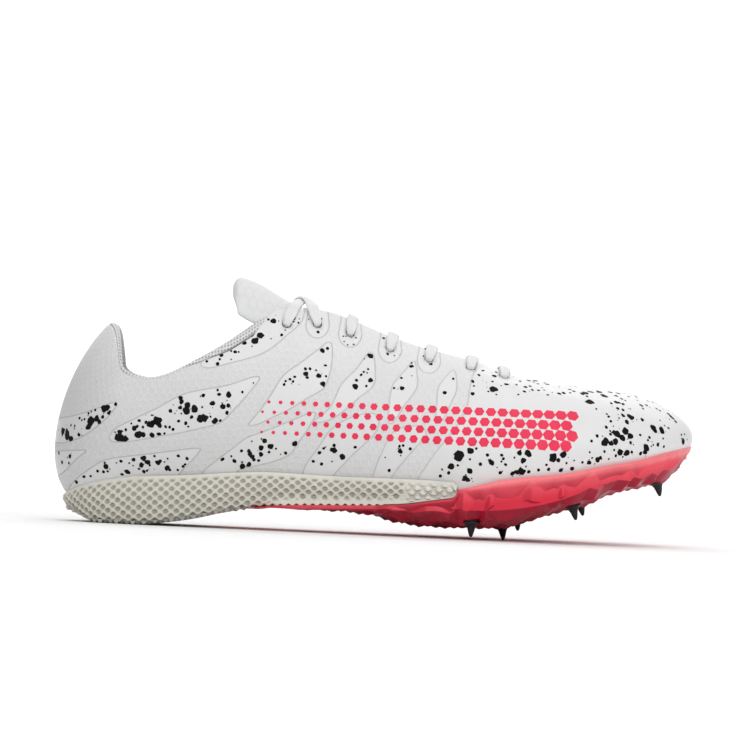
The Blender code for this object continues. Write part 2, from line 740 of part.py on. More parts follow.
def pin_pocket(pin, cutters):
    point, axis = pin_frame(pin)
    flange = PIN_FLANGE_RADIUS + PIN_CLEARANCE
    stud = PIN_STUD_RADIUS + GAP
    profile = [
        (stud, -PIN_STUD_LENGTH - PIN_CLEARANCE),
        (stud, -GAP),
        (flange, -GAP),
        (flange * 1.35, PIN_LENGTH),
    ]
    shape = turned_solid(profile, PIN_SIDES, point, axis)
    return add_object("pocket_" + pin[0], mesh_from("pocket", shape), cutters)


def build_pin(pin, collection, finish):
    point, axis = pin_frame(pin)
    profile = [(PIN_STUD_RADIUS, -PIN_STUD_LENGTH), (PIN_STUD_RADIUS, 0.0)]
    profile += [(PIN_FLANGE_RADIUS * wide, PIN_LENGTH * along) for wide, along in PIN_CONE]
    profile.append((PIN_TIP_RADIUS, PIN_LENGTH))
    shape = turned_solid(profile, PIN_SIDES, point, axis)
    return add_object(pin[0], mesh_from(pin[0], shape), collection, finish)


def insole_profile(side, turn):
    inset = FOOT_INSET + UPPER_WALL + 2 * GAP
    (x, y), _ = outline(side, turn, inset)
    floor = float(bed_height(x)) + GAP
    return [np.array([x, y, floor + INSOLE_THICKNESS]), np.array([x, y, floor])]


def build_insole(collection, finish):
    def across(start, end, share, floor):
        point = start + (end - start) * share
        point[2] = float(bed_height(point[0])) + GAP + (0 if floor else INSOLE_THICKNESS)
        return point

    shape = bmesh.new()
    skin(shape, [section(insole_profile, turn, across) for turn in even_turns(OUTLINE_START, 1.0, 26)])
    return add_object("insole", mesh_from("insole", shape), collection, finish)


_tongue_half, _tongue_mid, _tongue_fall = (natural_spline(TONGUE, column) for column in (1, 2, 3))


def tongue_point(x, share):
    """A point of the tongue's top face. Share runs from -1, its outer edge, to 1."""
    station = station_of(x)
    y = share * float(_tongue_half(station)) * BALL_WIDTH
    z = (float(_tongue_mid(station)) - float(_tongue_fall(station)) * share**2) * INSTEP_HEIGHT
    return np.array([x, y, z])


def build_tongue(collection, finish):
    stations = [row[0] for row in TONGUE]
    stations = stations[:4] + list(np.linspace(stations[4], stations[-1], 12))
    shape = bmesh.new()
    shares = [-1 + 2 * k / TONGUE_COLUMNS for k in range(TONGUE_COLUMNS + 1)]
    rows = [[tongue_point(place(station), share) for share in shares] for station in stations]
    skin(shape, rows, ring=False)
    bmesh.ops.recalc_face_normals(shape, faces=shape.faces)
    mesh = bpy.data.meshes.new("tongue")
    shape.to_mesh(mesh)
    shape.free()
    tongue = add_object("tongue", mesh, collection, finish)
    if mesh.polygons[0].normal.z < 0:
        mesh.flip_normals()
    wall = tongue.modifiers.new("thickness", "SOLIDIFY")
    wall.thickness = TONGUE_THICKNESS
    wall.offset = -1
    wall.use_even_offset = True
    return tongue


def lace_points(start, end, over):
    """Middle points and outward normals of one lace, from an outer eyelet to an inner one.

    Start and end are the eyelets' shares of LENGTH. Over lifts the lace's middle, to pass over another.
    """
    ends = {OUTER: eyelet_frame(OUTER, place(start)), INNER: eyelet_frame(INNER, place(end))}
    turns = ends[OUTER][2], ends[INNER][2]
    height = 2 * GAP + LACE_THICKNESS / 2
    points, normals = [], []
    edges = {}
    for side, share in ((OUTER, LACE_EDGE), (INNER, 1 - LACE_EDGE)):
        edge, normal = surface_frame(side, turns[0] + (turns[1] - turns[0]) * share, 1.0)
        edges[side] = edge + normal * height
    for share in LACE_PATH:
        side = OUTER if share < 0.5 else INNER
        near = min(share, 1 - share)
        turn = turns[0] + (turns[1] - turns[0]) * share
        if near <= LACE_EDGE:
            rise = ends[side][3] + (1 - ends[side][3]) * near / LACE_EDGE
            point, normal = surface_frame(side, turn, rise)
            points.append(point + normal * height)
            normals.append(normal)
            continue
        across = (share - LACE_EDGE) / (1 - 2 * LACE_EDGE)
        point = edges[OUTER] + (edges[INNER] - edges[OUTER]) * across
        arch = 1 - (2 * across - 1) ** 2
        point[2] += (over - LACE_FALL) * arch
        points.append(point)
        normals.append(np.array([0.25, 0.0, 0.97]))
    return points, normals


def lace_mesh(name, start, end, over=0.0):
    """A flat lace with rounded edges along its path."""
    points, normals = lace_points(start, end, over)
    shape = bmesh.new()
    rows = []
    for index, (point, normal) in enumerate(zip(points, normals)):
        ahead = points[min(index + 1, len(points) - 1)] - points[max(index - 1, 0)]
        wide = np.cross(normal, ahead)
        wide = wide / np.linalg.norm(wide) * LACE_WIDTH / 2
        thick = normal / np.linalg.norm(normal) * LACE_THICKNESS / 2
        flat = wide * LACE_FLAT
        under = [point - wide, point - flat - thick, point + flat - thick]
        rows.append(under + [point + wide, point + flat + thick, point - flat + thick])
    made = skin(shape, rows)
    shape.faces.new(made[0])
    shape.faces.new(made[-1])
    return mesh_from(name, shape)


def build_laces(collection, cutters, finish):
    """A crossing between the two top pairs of eyelets, and a bar at each of the other pairs."""
    lower = lace_mesh("lace_cross", EYELETS[0], EYELETS[1], LACE_CROSS_RISE)
    cross = add_object("lace_cross", lower, collection, finish)
    other = lace_mesh("lace_over", EYELETS[1], EYELETS[0], LACE_CROSS_RISE + LACE_THICKNESS * 0.8)
    boolean(cross, [add_object("lace_over", other, cutters)], "UNION")
    for number, share in enumerate(EYELETS[2:], 3):
        name = f"lace_bar_{number}"
        add_object(name, lace_mesh(name, share, share), collection, finish)


def main():
    for old in list(bpy.data.objects):
        bpy.data.objects.remove(old)
    shoe = new_collection("track_spike_shoe")
    cutters = new_collection("cutters")
    white = material("upper_white", (0.82, 0.82, 0.83), 0.55)
    rubber = material("heel_unit_beige", (0.66, 0.65, 0.58), 0.6)
    coral = material("plate_coral", (0.80, 0.07, 0.10), 0.35)
    lining = material("lining_white", (0.78, 0.78, 0.79), 0.8)
    steel = material("pin_black", (0.03, 0.03, 0.03), 0.35, 0.8)
    build_upper(shoe, cutters, white)
    build_heel_unit(shoe, rubber)
    build_plate(shoe, cutters, coral)
    build_insole(shoe, lining)
    build_tongue(shoe, lining)
    build_laces(shoe, cutters, lining)
    for pin in PINS:
        build_pin(pin, shoe, steel)


main()
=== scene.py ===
# %% [markdown]
# # A track spike shoe, dressed
# The frame that is loaded here is the plain model of a right-foot track spike: hollow upper, tongue,
# insole, heel unit, spike plate, laces and seven screw-in pins. Each step below makes one of those pieces
# again with the detail that the real one has, and puts it where the plain one is.
# %% Load the plain model
import math
from contextlib import contextmanager

import bmesh
import bpy
import numpy as np
from mathutils import Matrix, Vector
from mathutils.bvhtree import BVHTree


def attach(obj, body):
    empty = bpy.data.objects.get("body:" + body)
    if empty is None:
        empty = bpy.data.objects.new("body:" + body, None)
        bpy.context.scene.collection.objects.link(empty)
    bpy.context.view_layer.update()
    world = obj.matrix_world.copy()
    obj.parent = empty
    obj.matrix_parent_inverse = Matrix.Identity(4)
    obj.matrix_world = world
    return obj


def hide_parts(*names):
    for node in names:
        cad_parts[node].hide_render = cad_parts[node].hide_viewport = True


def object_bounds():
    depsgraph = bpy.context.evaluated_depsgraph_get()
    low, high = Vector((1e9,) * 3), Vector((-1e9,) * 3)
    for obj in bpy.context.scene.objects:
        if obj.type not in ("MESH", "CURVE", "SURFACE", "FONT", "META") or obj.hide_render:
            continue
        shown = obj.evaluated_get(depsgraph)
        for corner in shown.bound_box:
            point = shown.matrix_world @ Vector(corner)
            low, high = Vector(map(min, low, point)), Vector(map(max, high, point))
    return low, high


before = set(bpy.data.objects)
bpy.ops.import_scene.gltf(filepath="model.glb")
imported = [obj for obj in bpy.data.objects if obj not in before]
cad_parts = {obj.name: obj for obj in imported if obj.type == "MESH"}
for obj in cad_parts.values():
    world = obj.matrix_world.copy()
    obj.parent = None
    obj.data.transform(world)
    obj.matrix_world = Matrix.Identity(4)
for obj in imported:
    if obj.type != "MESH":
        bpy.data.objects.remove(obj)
cad_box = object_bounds()
MM = 0.001
cad_mm = [[round(v / MM) for v in corner] for corner in cad_box]
print("plain model:", len(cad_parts), "nodes, box", cad_mm)

# %% [markdown]
# ## Camera, floor and light
# The shoe is seen square from its outer side, from far away and just above the floor, so that it has almost
# no perspective. The picture is turned by 2.6 degrees: the toe sits lower than the heel, and the camera is
# rolled to match. A sheet that curves up behind the shoe is both floor and backdrop, which leaves no
# horizon.
# %% Camera
VIEW_WIDTH = 0.3356
VIEW_DISTANCE = 3.2
VIEW_ROLL = math.radians(2.6)
VIEW_CENTRE = Vector((0.1132, -0.012, 0.0714))
SENSOR = 36.0  # millimetres

camera_data = bpy.data.cameras.new("camera")
camera_data.sensor_width = SENSOR
camera_data.lens = SENSOR * VIEW_DISTANCE / VIEW_WIDTH
camera_data.clip_end = 50.0
camera = bpy.data.objects.new("camera", camera_data)
bpy.context.scene.collection.objects.link(camera)
right = Vector((math.cos(VIEW_ROLL), 0, math.sin(VIEW_ROLL)))
up = Vector((-math.sin(VIEW_ROLL), 0, math.cos(VIEW_ROLL)))
turned = Matrix((right, up, right.cross(up))).transposed().to_4x4()
camera.matrix_world = Matrix.Translation(VIEW_CENTRE - Vector((0, VIEW_DISTANCE, 0))) @ turned
bpy.context.scene.camera = camera
print("lens", round(camera_data.lens), "mm")


# %% Small helpers for meshes
def mesh_object(name, points, faces, finish=None, smooth=True):
    mesh = bpy.data.meshes.new(name)
    mesh.from_pydata([tuple(p) for p in np.asarray(points).reshape(-1, 3).tolist()], [], faces)
    mesh.update()
    if smooth:
        mesh.shade_smooth()
    made = bpy.data.objects.new(name, mesh)
    bpy.context.scene.collection.objects.link(made)
    if finish:
        mesh.materials.append(finish)
    return made


def store(mesh, name, values, kind="FLOAT"):
    """Keep one number, or one vector, for each vertex, for the materials to read."""
    layer = mesh.attributes.new(name, kind, "POINT")
    layer.data.foreach_set("value" if kind == "FLOAT" else "vector", np.asarray(values, np.float32).ravel())


def triangles(made):
    return sum(len(p.vertices) - 2 for p in made.data.polygons)


def vertex_array(mesh):
    values = np.empty(len(mesh.vertices) * 3, np.float32)
    mesh.vertices.foreach_get("co", values)
    return values.reshape(-1, 3).astype(float)


@contextmanager
def editing(made):
    """The piece's mesh as a bmesh, which is written back at the end."""
    shape = bmesh.new()
    shape.from_mesh(made.data)
    yield shape
    shape.to_mesh(made.data)
    shape.free()


def grid_faces(points, ring=False, tube=False):
    """Faces between the columns of a grid of points. A ring joins the last column to the first, and a tube
    joins the end of each column to its start."""
    index = np.arange(points.shape[0] * points.shape[1]).reshape(points.shape[:2])
    if ring:
        index = np.concatenate([index, index[:1]], 0)
    if tube:
        index = np.concatenate([index, index[:, :1]], 1)
    cells = np.stack([index[:-1, :-1], index[:-1, 1:], index[1:, 1:], index[1:, :-1]], -1)
    return [tuple(cell) for cell in cells.reshape(-1, 4).tolist()]


# %% Helpers for lengths, directions and soft steps
def walked(line):
    """The length walked along a line of points, at each of them."""
    return np.concatenate([[0], np.cumsum(np.linalg.norm(np.diff(line, axis=0), axis=1))])


def walked_columns(grid):
    """The same for every column of a grid of points."""
    steps = np.linalg.norm(np.diff(grid, axis=1), axis=2)
    return np.concatenate([np.zeros((len(grid), 1)), np.cumsum(steps, axis=1)], 1)


def unit(vectors):
    """The same directions with length 1."""
    return vectors / np.maximum(np.linalg.norm(vectors, axis=-1, keepdims=True), 1e-12)


def soft(share):
    """A share from 0 to 1 with a soft start and a soft end."""
    return share * share * (3 - 2 * share)


# %% Floor and backdrop
def socket_colour(shader, colour):
    shader.inputs["Base Color"].default_value = (*colour, 1.0)


floor_finish = bpy.data.materials.new("floor_white")
floor_finish.use_nodes = True
floor_shader = floor_finish.node_tree.nodes["Principled BSDF"]
socket_colour(floor_shader, (0.97, 0.97, 0.97))
floor_shader.inputs["Roughness"].default_value = 0.9
WALL_START, WALL_BEND = 3.4, 1.2  # where the floor starts to curve up, and the radius of that curve
bend = [(WALL_START + WALL_BEND * math.sin(t), WALL_BEND - WALL_BEND * math.cos(t))
        for t in np.linspace(0, math.pi / 2, 13)]
sweep = [(-8.0, 0.0)] + bend + [(WALL_START + WALL_BEND, 6.0)]
points = [(x, y, z) for y, z in sweep for x in (-6.0, 6.0)]
faces = [(2 * i, 2 * i + 1, 2 * i + 3, 2 * i + 2) for i in range(len(sweep) - 1)]
backdrop = mesh_object("backdrop", points, faces, floor_finish)


# %% Lamps
def area_lamp(name, place, aim, size, power):
    data = bpy.data.lights.new(name, "AREA")
    data.shape = "RECTANGLE"
    data.size, data.size_y = size
    data.energy = power
    lamp = bpy.data.objects.new(name, data)
    turned = (Vector(aim) - Vector(place)).to_track_quat("-Z", "Y").to_matrix()
    lamp.matrix_world = Matrix.Translation(place) @ turned.to_4x4()
    bpy.context.scene.collection.objects.link(lamp)
    return lamp


MIDDLE = (0.115, 0.0, 0.05)
area_lamp("lamp_top", (0.25, -0.30, 1.5), MIDDLE, (1.6, 1.2), 8.8)
area_lamp("lamp_key", (1.2, -1.2, 0.9), MIDDLE, (0.9, 0.9), 4.5)
area_lamp("lamp_back", (0.2, 1.2, 0.9), MIDDLE, (1.2, 0.8), 2.5)
area_lamp("lamp_floor", (0.1, -2.3, 1.3), (0.1, -2.2, 0.0), (2.4, 1.6), 26)
area_lamp("lamp_wall", (0.1, 2.0, 2.6), (0.1, 3.6, 0.2), (5.0, 1.6), 100)
bpy.context.scene.view_settings.view_transform = "Standard"
world = bpy.data.worlds.new("studio")
bpy.context.scene.world = world
world.use_nodes = True
world.node_tree.nodes["Background"].inputs["Color"].default_value = (1, 1, 1, 1)
world.node_tree.nodes["Background"].inputs["Strength"].default_value = 0.30
print("stage set, 5 lamps")

# %% [markdown]
# ## The last in numbers
# Every piece of a shoe follows one last. Here it is a set of short tables and a smooth curve through each
# column. They are the same numbers that the plain model is made from, so each dressed piece lands on its
# plain one.
# %% Driving sizes, in metres
LENGTH = 0.285
HEEL_REST = 0.0277
BALL_WIDTH = 0.093
RIM_HEIGHT = 0.0257
INSTEP_HEIGHT = 0.099
UPPER_WALL = 0.0016
INSOLE_THICKNESS = 0.003
TONGUE_THICKNESS = 0.0026
RIM_THICKNESS = 0.0022
GAP = 0.0003
LUG_HEIGHT = 0.0018
PLATE_CROWN = 0.005
TOE_FLATTER = 0.6
LACE_WIDTH = 0.0050
LACE_THICKNESS = 0.0015
EYELET_RADIUS = 0.0021
EYELET_INSET = 0.0085
PIN_LENGTH = 0.007
OUTLINE_START = 0.012
THROAT_END = 0.742
THROAT_ROUND = 0.030
CREST_SHIFT = 0.080
HEEL_FLOOR_END = 0.500
HEEL_UNIT_END = 0.630
HEEL_UNIT_TAPER = 0.020
PLATE_START = 0.235
FOOT_INSET = RIM_THICKNESS + GAP
FOOT_STAND = 0.0006
CREST_RUN = 0.060
EYELETS = [0.352, 0.402, 0.454, 0.519, 0.582, 0.646, 0.696]
OUTER, INNER = -1.0, 1.0

# %% Tables of the last
OUTLINE = [  # station, outer half-width, inner half-width
    (0.000, 0.000, 0.000), (0.030, 0.205, 0.200), (0.080, 0.293, 0.285), (0.150, 0.337, 0.322),
    (0.250, 0.347, 0.315), (0.360, 0.352, 0.280), (0.470, 0.385, 0.290), (0.580, 0.448, 0.368),
    (0.670, 0.490, 0.445), (0.750, 0.485, 0.490), (0.830, 0.425, 0.490), (0.900, 0.320, 0.440),
    (0.950, 0.205, 0.360), (0.985, 0.070, 0.250), (1.000, -0.090, 0.090),
]
SIDE = [  # station, rim, bed
    (0.000, 0.37, 0.22), (0.016, 0.48, 0.30), (0.037, 0.61, 0.40), (0.073, 0.73, 0.47), (0.120, 0.83, 0.53),
    (0.168, 0.87, 0.57), (0.264, 0.96, 0.67), (0.319, 1.01, 0.73), (0.414, 1.00, 0.74), (0.493, 1.00, 0.69),
    (0.600, 1.00, 0.56), (0.660, 1.00, 0.52), (0.716, 1.10, 0.57), (0.800, 1.23, 0.80), (0.855, 1.37, 1.05),
    (0.910, 1.50, 1.26), (0.966, 1.68, 1.47), (1.000, 1.78, 1.58),
]
UNDER = [  # station, underside, parting line
    (0.000, 0.43, 0.40), (0.020, 0.20, 0.20), (0.043, 0.10, 0.10), (0.055, 0.04, 0.04), (0.070, 0.00, 0.00),
    (0.130, 0.00, 0.00), (0.165, 0.03, 0.04), (0.195, 0.07, 0.09), (0.227, 0.12, 0.16), (0.258, 0.19, 0.25),
    (0.290, 0.26, 0.33), (0.315, 0.31, 0.40), (0.365, 0.37, 0.475), (0.440, 0.37, 0.515), (0.495, 0.33, 0.54),
    (0.545, 0.21, 0.58), (0.600, 0.17, 0.68), (0.655, 0.18, 0.78), (0.705, 0.20, 0.85), (0.745, 0.34, 0.95),
    (0.792, 0.52, 1.05), (0.837, 0.67, 1.15), (0.870, 0.86, 1.20), (0.915, 1.00, 1.30), (0.940, 1.06, 1.35),
    (0.962, 1.16, 1.45), (0.985, 1.42, 1.60), (1.000, 1.62, 1.70),
]
TOP = [  # turn, x, half, height
    (0.00, 0.077, 0.000, 0.912), (0.05, 0.083, 0.092, 0.902), (0.10, 0.089, 0.168, 0.853),
    (0.15, 0.093, 0.232, 0.768), (0.20, 0.106, 0.272, 0.693), (0.25, 0.152, 0.294, 0.673),
    (0.30, 0.209, 0.297, 0.752), (0.35, 0.274, 0.270, 0.873), (0.40, 0.340, 0.190, 0.998),
    (0.45, 0.423, 0.150, 0.998), (0.50, 0.504, 0.136, 0.915), (0.55, 0.583, 0.122, 0.849),
    (0.60, 0.658, 0.108, 0.800), (0.65, 0.728, 0.096, 0.741), (0.70, 0.787, 0.090, 0.717),
    (0.75, 0.824, 0.086, 0.706), (0.80, 0.849, 0.076, 0.701), (0.85, 0.870, 0.060, 0.696),
    (0.90, 0.885, 0.040, 0.691), (0.95, 0.894, 0.018, 0.688), (1.00, 0.897, 0.000, 0.687),
]
FULLNESS = [  # turn, low out outer, low out inner, low rise, top out, top drop
    (0.00, 0.160, 0.160, 0.115, 0.225, 0.200), (0.10, 0.122, 0.122, 0.130, 0.140, 0.210),
    (0.20, 0.085, 0.088, 0.155, 0.050, 0.200), (0.25, 0.070, 0.080, 0.150, 0.038, 0.200),
    (0.30, 0.065, 0.085, 0.170, 0.055, 0.225), (0.35, 0.060, 0.095, 0.210, 0.085, 0.245),
    (0.40, 0.055, 0.110, 0.245, 0.130, 0.205), (0.45, 0.055, 0.110, 0.230, 0.160, 0.165),
    (0.50, 0.058, 0.095, 0.210, 0.190, 0.125), (0.55, 0.060, 0.075, 0.190, 0.215, 0.095),
    (0.60, 0.060, 0.060, 0.170, 0.240, 0.060), (0.65, 0.060, 0.055, 0.160, 0.265, 0.025),
    (0.70, 0.058, 0.052, 0.145, 0.280, 0.000), (0.80, 0.054, 0.052, 0.130, 0.215, 0.000),
    (0.90, 0.066, 0.066, 0.120, 0.125, 0.000), (1.00, 0.080, 0.080, 0.120, 0.075, 0.000),
]


# %% Curves through the tables
def natural_spline(rows, column):
    """A smooth curve through one column of a table, as a function of the first column."""
    x = np.array([row[0] for row in rows], float)
    y = np.array([row[column] for row in rows], float)
    step = np.diff(x)
    slope = np.diff(y) / step
    count = len(x)
    left, side = np.eye(count), np.zeros(count)
    for i in range(1, count - 1):
        left[i, i - 1 : i + 2] = step[i - 1], 2 * (step[i - 1] + step[i]), step[i]
        side[i] = 6 * (slope[i] - slope[i - 1])
    bend = np.linalg.solve(left, side)

    def curve(at):
        at = np.clip(at, x[0], x[-1])
        i = np.clip(np.searchsorted(x, at) - 1, 0, count - 2)
        before, after = at - x[i], x[i + 1] - at
        return (
            (bend[i] * after**3 + bend[i + 1] * before**3) / (6 * step[i])
            + (y[i] / step[i] - bend[i] * step[i] / 6) * after
            + (y[i + 1] / step[i] - bend[i + 1] * step[i] / 6) * before
        )

    return curve


def even_curve(rows, column):
    """A curve that never swings past a row's value, so that a flat run stays flat."""
    x = np.array([row[0] for row in rows], float)
    y = np.array([row[column] for row in rows], float)
    step, slope = np.diff(x), np.diff(y) / np.diff(x)
    tangent = np.zeros(len(x))
    for i in range(1, len(x) - 1):
        if slope[i - 1] * slope[i] > 0:
            tangent[i] = 2 * slope[i - 1] * slope[i] / (slope[i - 1] + slope[i])
    tangent[0], tangent[-1] = slope[0], slope[-1]

    def curve(at):
        at = np.clip(at, x[0], x[-1])
        i = np.clip(np.searchsorted(x, at) - 1, 0, len(x) - 2)
        t = (at - x[i]) / step[i]
        rise = y[i] * (1 - t) ** 2 * (1 + 2 * t) + y[i + 1] * t**2 * (3 - 2 * t)
        return rise + step[i] * t * (1 - t) * (tangent[i] * (1 - t) - tangent[i + 1] * t)

    return curve


# %% Places along the shoe, and heights of the sole
def place(station):
    return station * LENGTH - HEEL_REST


def station_of(x):
    return (x + HEEL_REST) / LENGTH


def columns_of(rows, *columns):
    """A smooth curve for each of the given columns of a table."""
    return [natural_spline(rows, column) for column in columns]


_turned = [(math.acos(1 - 2 * row[0]) / math.pi, row[1], row[2]) for row in OUTLINE]
_half_width = dict(zip((OUTER, INNER), columns_of(_turned, 1, 2)))
_rim, _bed = columns_of(SIDE, 1, 2)
_under, _parting = even_curve(UNDER, 1), even_curve(UNDER, 2)
_top_x, _top_half, _top_z = columns_of(TOP, 1, 2, 3)
_low_out = dict(zip((OUTER, INNER), columns_of(FULLNESS, 1, 2)))
_low_rise, _top_out, _top_drop = columns_of(FULLNESS, 3, 4, 5)


def rim_height(x):
    return RIM_HEIGHT * _rim(station_of(x))


def bed_height(x):
    return RIM_HEIGHT * _bed(station_of(x))


def under_height(x):
    return RIM_HEIGHT * _under(station_of(x))


def parting_height(x):
    return RIM_HEIGHT * _parting(station_of(x))


def turn_of_station(station):
    share = np.clip((station - OUTLINE_START) / (1 - OUTLINE_START), 0, 1)
    return np.arccos(1 - 2 * share) / math.pi


print("rim near heel and toe", [round(float(rim_height(place(s))) / MM, 1) for s in (0.1, 0.9)], "mm high")


# %% The outline of the sole, and the top line of the upper
def outline(side, turn, inset=0.0):
    """Points of the sole's outline in plan, and its outward normals, for an array of turns."""
    turn = np.asarray(turn, float)

    def raw(at):
        x = place(OUTLINE_START + (1 - OUTLINE_START) * (1 - np.cos(math.pi * at)) / 2)
        return np.stack([x, side * _half_width[side](at) * BALL_WIDTH], -1)

    nudge = 0.004
    along = raw(np.minimum(turn + nudge, 1.0)) - raw(np.maximum(turn - nudge, 0.0))
    along = np.where((turn < nudge)[..., None], [0.0, side], along)
    along = np.where((turn > 1 - nudge)[..., None], [0.0, -side], along)
    normal = side * np.stack([-along[..., 1], along[..., 0]], -1)
    normal = unit(normal)
    return raw(turn) - normal * np.asarray(inset)[..., None], normal


def top_edge(side, turn, rounded=True):
    turn = np.asarray(turn, float)
    station = _top_x(turn)
    past = np.clip((station - (THROAT_END - THROAT_ROUND)) / THROAT_ROUND, 0, 1) if rounded else 0.0 * station
    half = _top_half(turn) * BALL_WIDTH * np.sqrt(1 - past**2)
    lean = np.clip((station - THROAT_END) / (0.9 - THROAT_END), 0, 1)
    crest = CREST_SHIFT * BALL_WIDTH * lean**1.3
    return np.stack([place(station), crest + side * half, _top_z(turn) * INSTEP_HEIGHT], -1)


def crest_slope(turn):
    ahead = top_edge(OUTER, np.minimum(turn + 0.01, 1.0)) - top_edge(OUTER, np.maximum(turn - 0.01, 0.0))
    return ahead[..., 2] / np.maximum(ahead[..., 0], 1e-6) * np.clip((turn - 0.60) / 0.14, 0, 1)


def upper_grid(side, turn, rise):
    """Points of the upper's outer face for arrays of turn and rise of one shape."""
    turn, rise = np.broadcast_arrays(np.asarray(turn, float), np.asarray(rise, float))
    plan, normal = outline(side, turn, FOOT_INSET)
    foot = np.concatenate([plan, (rim_height(plan[..., 0]) + FOOT_STAND)[..., None]], -1)
    top, edge = top_edge(side, turn, False), top_edge(side, turn)
    out = np.concatenate([normal, np.zeros(normal.shape[:-1] + (1,))], -1)
    up = np.array([0.0, 0.0, 1.0])
    low = foot + out * (_low_out[side](turn) * BALL_WIDTH)[..., None]
    low = low + up * (_low_rise(turn) * INSTEP_HEIGHT)[..., None]
    over = np.concatenate([normal, (crest_slope(turn) * normal[..., 0])[..., None]], -1)
    high = top + over * (_top_out(turn) * BALL_WIDTH)[..., None]
    high = high - up * (_top_drop(turn) * INSTEP_HEIGHT)[..., None]
    flat = np.linalg.norm(edge - top, axis=-1) / CREST_RUN
    t = rise * (1 + flat)
    rest = np.clip(1 - t, 0, 1)[..., None]
    c = np.clip(t, 0, 1)[..., None]
    bent = rest**3 * foot + 3 * rest**2 * c * low + 3 * rest * c**2 * high + c**3 * top
    past = (np.clip(t - 1, 0, None) / np.maximum(flat, 1e-9))[..., None]
    return bent + (edge - top) * past


# %% Where the eyelets are
def surface_frame(side, turn, rise):
    """One point of the upper's outer face, with its outward normal."""
    step = 0.01
    across = upper_grid(side, turn, min(rise + step, 1)) - upper_grid(side, turn, max(rise - step, 0))
    along = upper_grid(side, min(turn + step, 1), rise) - upper_grid(side, max(turn - step, 0), rise)
    normal = np.cross(along, across) * side * -1
    return upper_grid(side, turn, rise), normal / np.linalg.norm(normal)


def eyelet_frame(side, x):
    """Middle, outward normal, turn and rise of the eyelet whose top edge is at x."""
    turns = np.linspace(0.3, 0.75, 400)
    turn = float(turns[np.argmin(np.abs(top_edge(side, turns)[:, 0] - x))])
    rises = np.arange(1.0, 0.3, -0.002)
    line = upper_grid(side, np.full(len(rises), turn), rises)
    rise = float(rises[min(np.searchsorted(walked(line), EYELET_INSET), len(rises) - 1)])
    point, normal = surface_frame(side, turn, rise)
    return point, normal, turn, rise


EYELET_FRAMES = {side: [eyelet_frame(side, place(share)) for share in EYELETS] for side in (OUTER, INNER)}
print("eyelets at x", [round(f[0][0] / MM) for f in EYELET_FRAMES[OUTER]], "mm")

# %% [markdown]
# ## Finishes
# A group is a small set of nodes that several materials share. It puts out masks and heights only; the
# shader itself stays in the material. The patterns read Object coordinates, or lengths in metres that each
# mesh stores on its vertices, so they keep their size wherever the piece bends.
# %% A short hand for nodes
class Tree:
    """Adds nodes to one tree and links their inputs: a value is set, a socket is joined."""

    def __init__(self, tree):
        self.tree = tree

    def node(self, kind, *inputs, out=0, **settings):
        """One output of a new node. Its inputs come in order, or by their names in one dictionary."""
        made = self.tree.nodes.new(kind)
        for key, value in settings.items():
            setattr(made, key, value)
        named = inputs[0] if inputs and isinstance(inputs[0], dict) else dict(enumerate(inputs))
        for key, value in named.items():
            self.join(made.inputs[key], value)
        return made.outputs[out]

    def join(self, socket, value):
        if isinstance(value, bpy.types.NodeSocket):
            self.tree.links.new(value, socket)
        elif value is not None:
            socket.default_value = value

    def math(self, operation, *inputs):
        return self.node("ShaderNodeMath", *inputs, operation=operation)

    def vector(self, operation, *inputs, out=0):
        return self.node("ShaderNodeVectorMath", *inputs, operation=operation, out=out)

    def scaled(self, vector, factor):
        return self.node("ShaderNodeVectorMath", {0: vector, "Scale": factor}, operation="SCALE")

    def parts(self, vector):
        """The X, Y and Z sockets of a vector."""
        return self.node("ShaderNodeSeparateXYZ", vector).node.outputs

    def ramp(self, value, low, high, start=0.0, end=1.0):
        return self.node("ShaderNodeMapRange", value, low, high, start, end, interpolation_type="SMOOTHSTEP")

    def attribute(self, name, out="Fac"):
        return self.node("ShaderNodeAttribute", attribute_name=name, out=out)

    def place(self):
        return self.node("ShaderNodeTexCoord", out="Object")

    def mix(self, share, first, second):
        made = self.tree.nodes.new("ShaderNodeMix")
        made.data_type = "RGBA"
        self.join(made.inputs[0], share)
        self.join(made.inputs[6], first)
        self.join(made.inputs[7], second)
        return made.outputs[2]

    def group(self, shared, *inputs, out=0):
        return self.node("ShaderNodeGroup", *inputs, node_tree=shared, out=out)

    def weave(self, shared, size):
        """A pattern group read at the lengths that the piece stores."""
        return self.group(shared, self.attribute("weave_place", "Vector"), size)

    def grain(self, size):
        """Both outputs of the fine grain group: its height, and slow clouds."""
        return self.group(GRAIN, self.place(), size).node.outputs


def new_group(name, inputs, outputs):
    """An empty group with named sockets, and the sockets inside it."""
    shared = bpy.data.node_groups.new(name, "ShaderNodeTree")
    for label, kind, value in inputs:
        socket = shared.interface.new_socket(name=label, in_out="INPUT", socket_type=kind)
        if value is not None:
            socket.default_value = value
    for label, kind in outputs:
        shared.interface.new_socket(name=label, in_out="OUTPUT", socket_type=kind)
    tree = Tree(shared)
    source = shared.nodes.new("NodeGroupInput").outputs
    drain = shared.nodes.new("NodeGroupOutput").inputs
    return shared, tree, source, drain


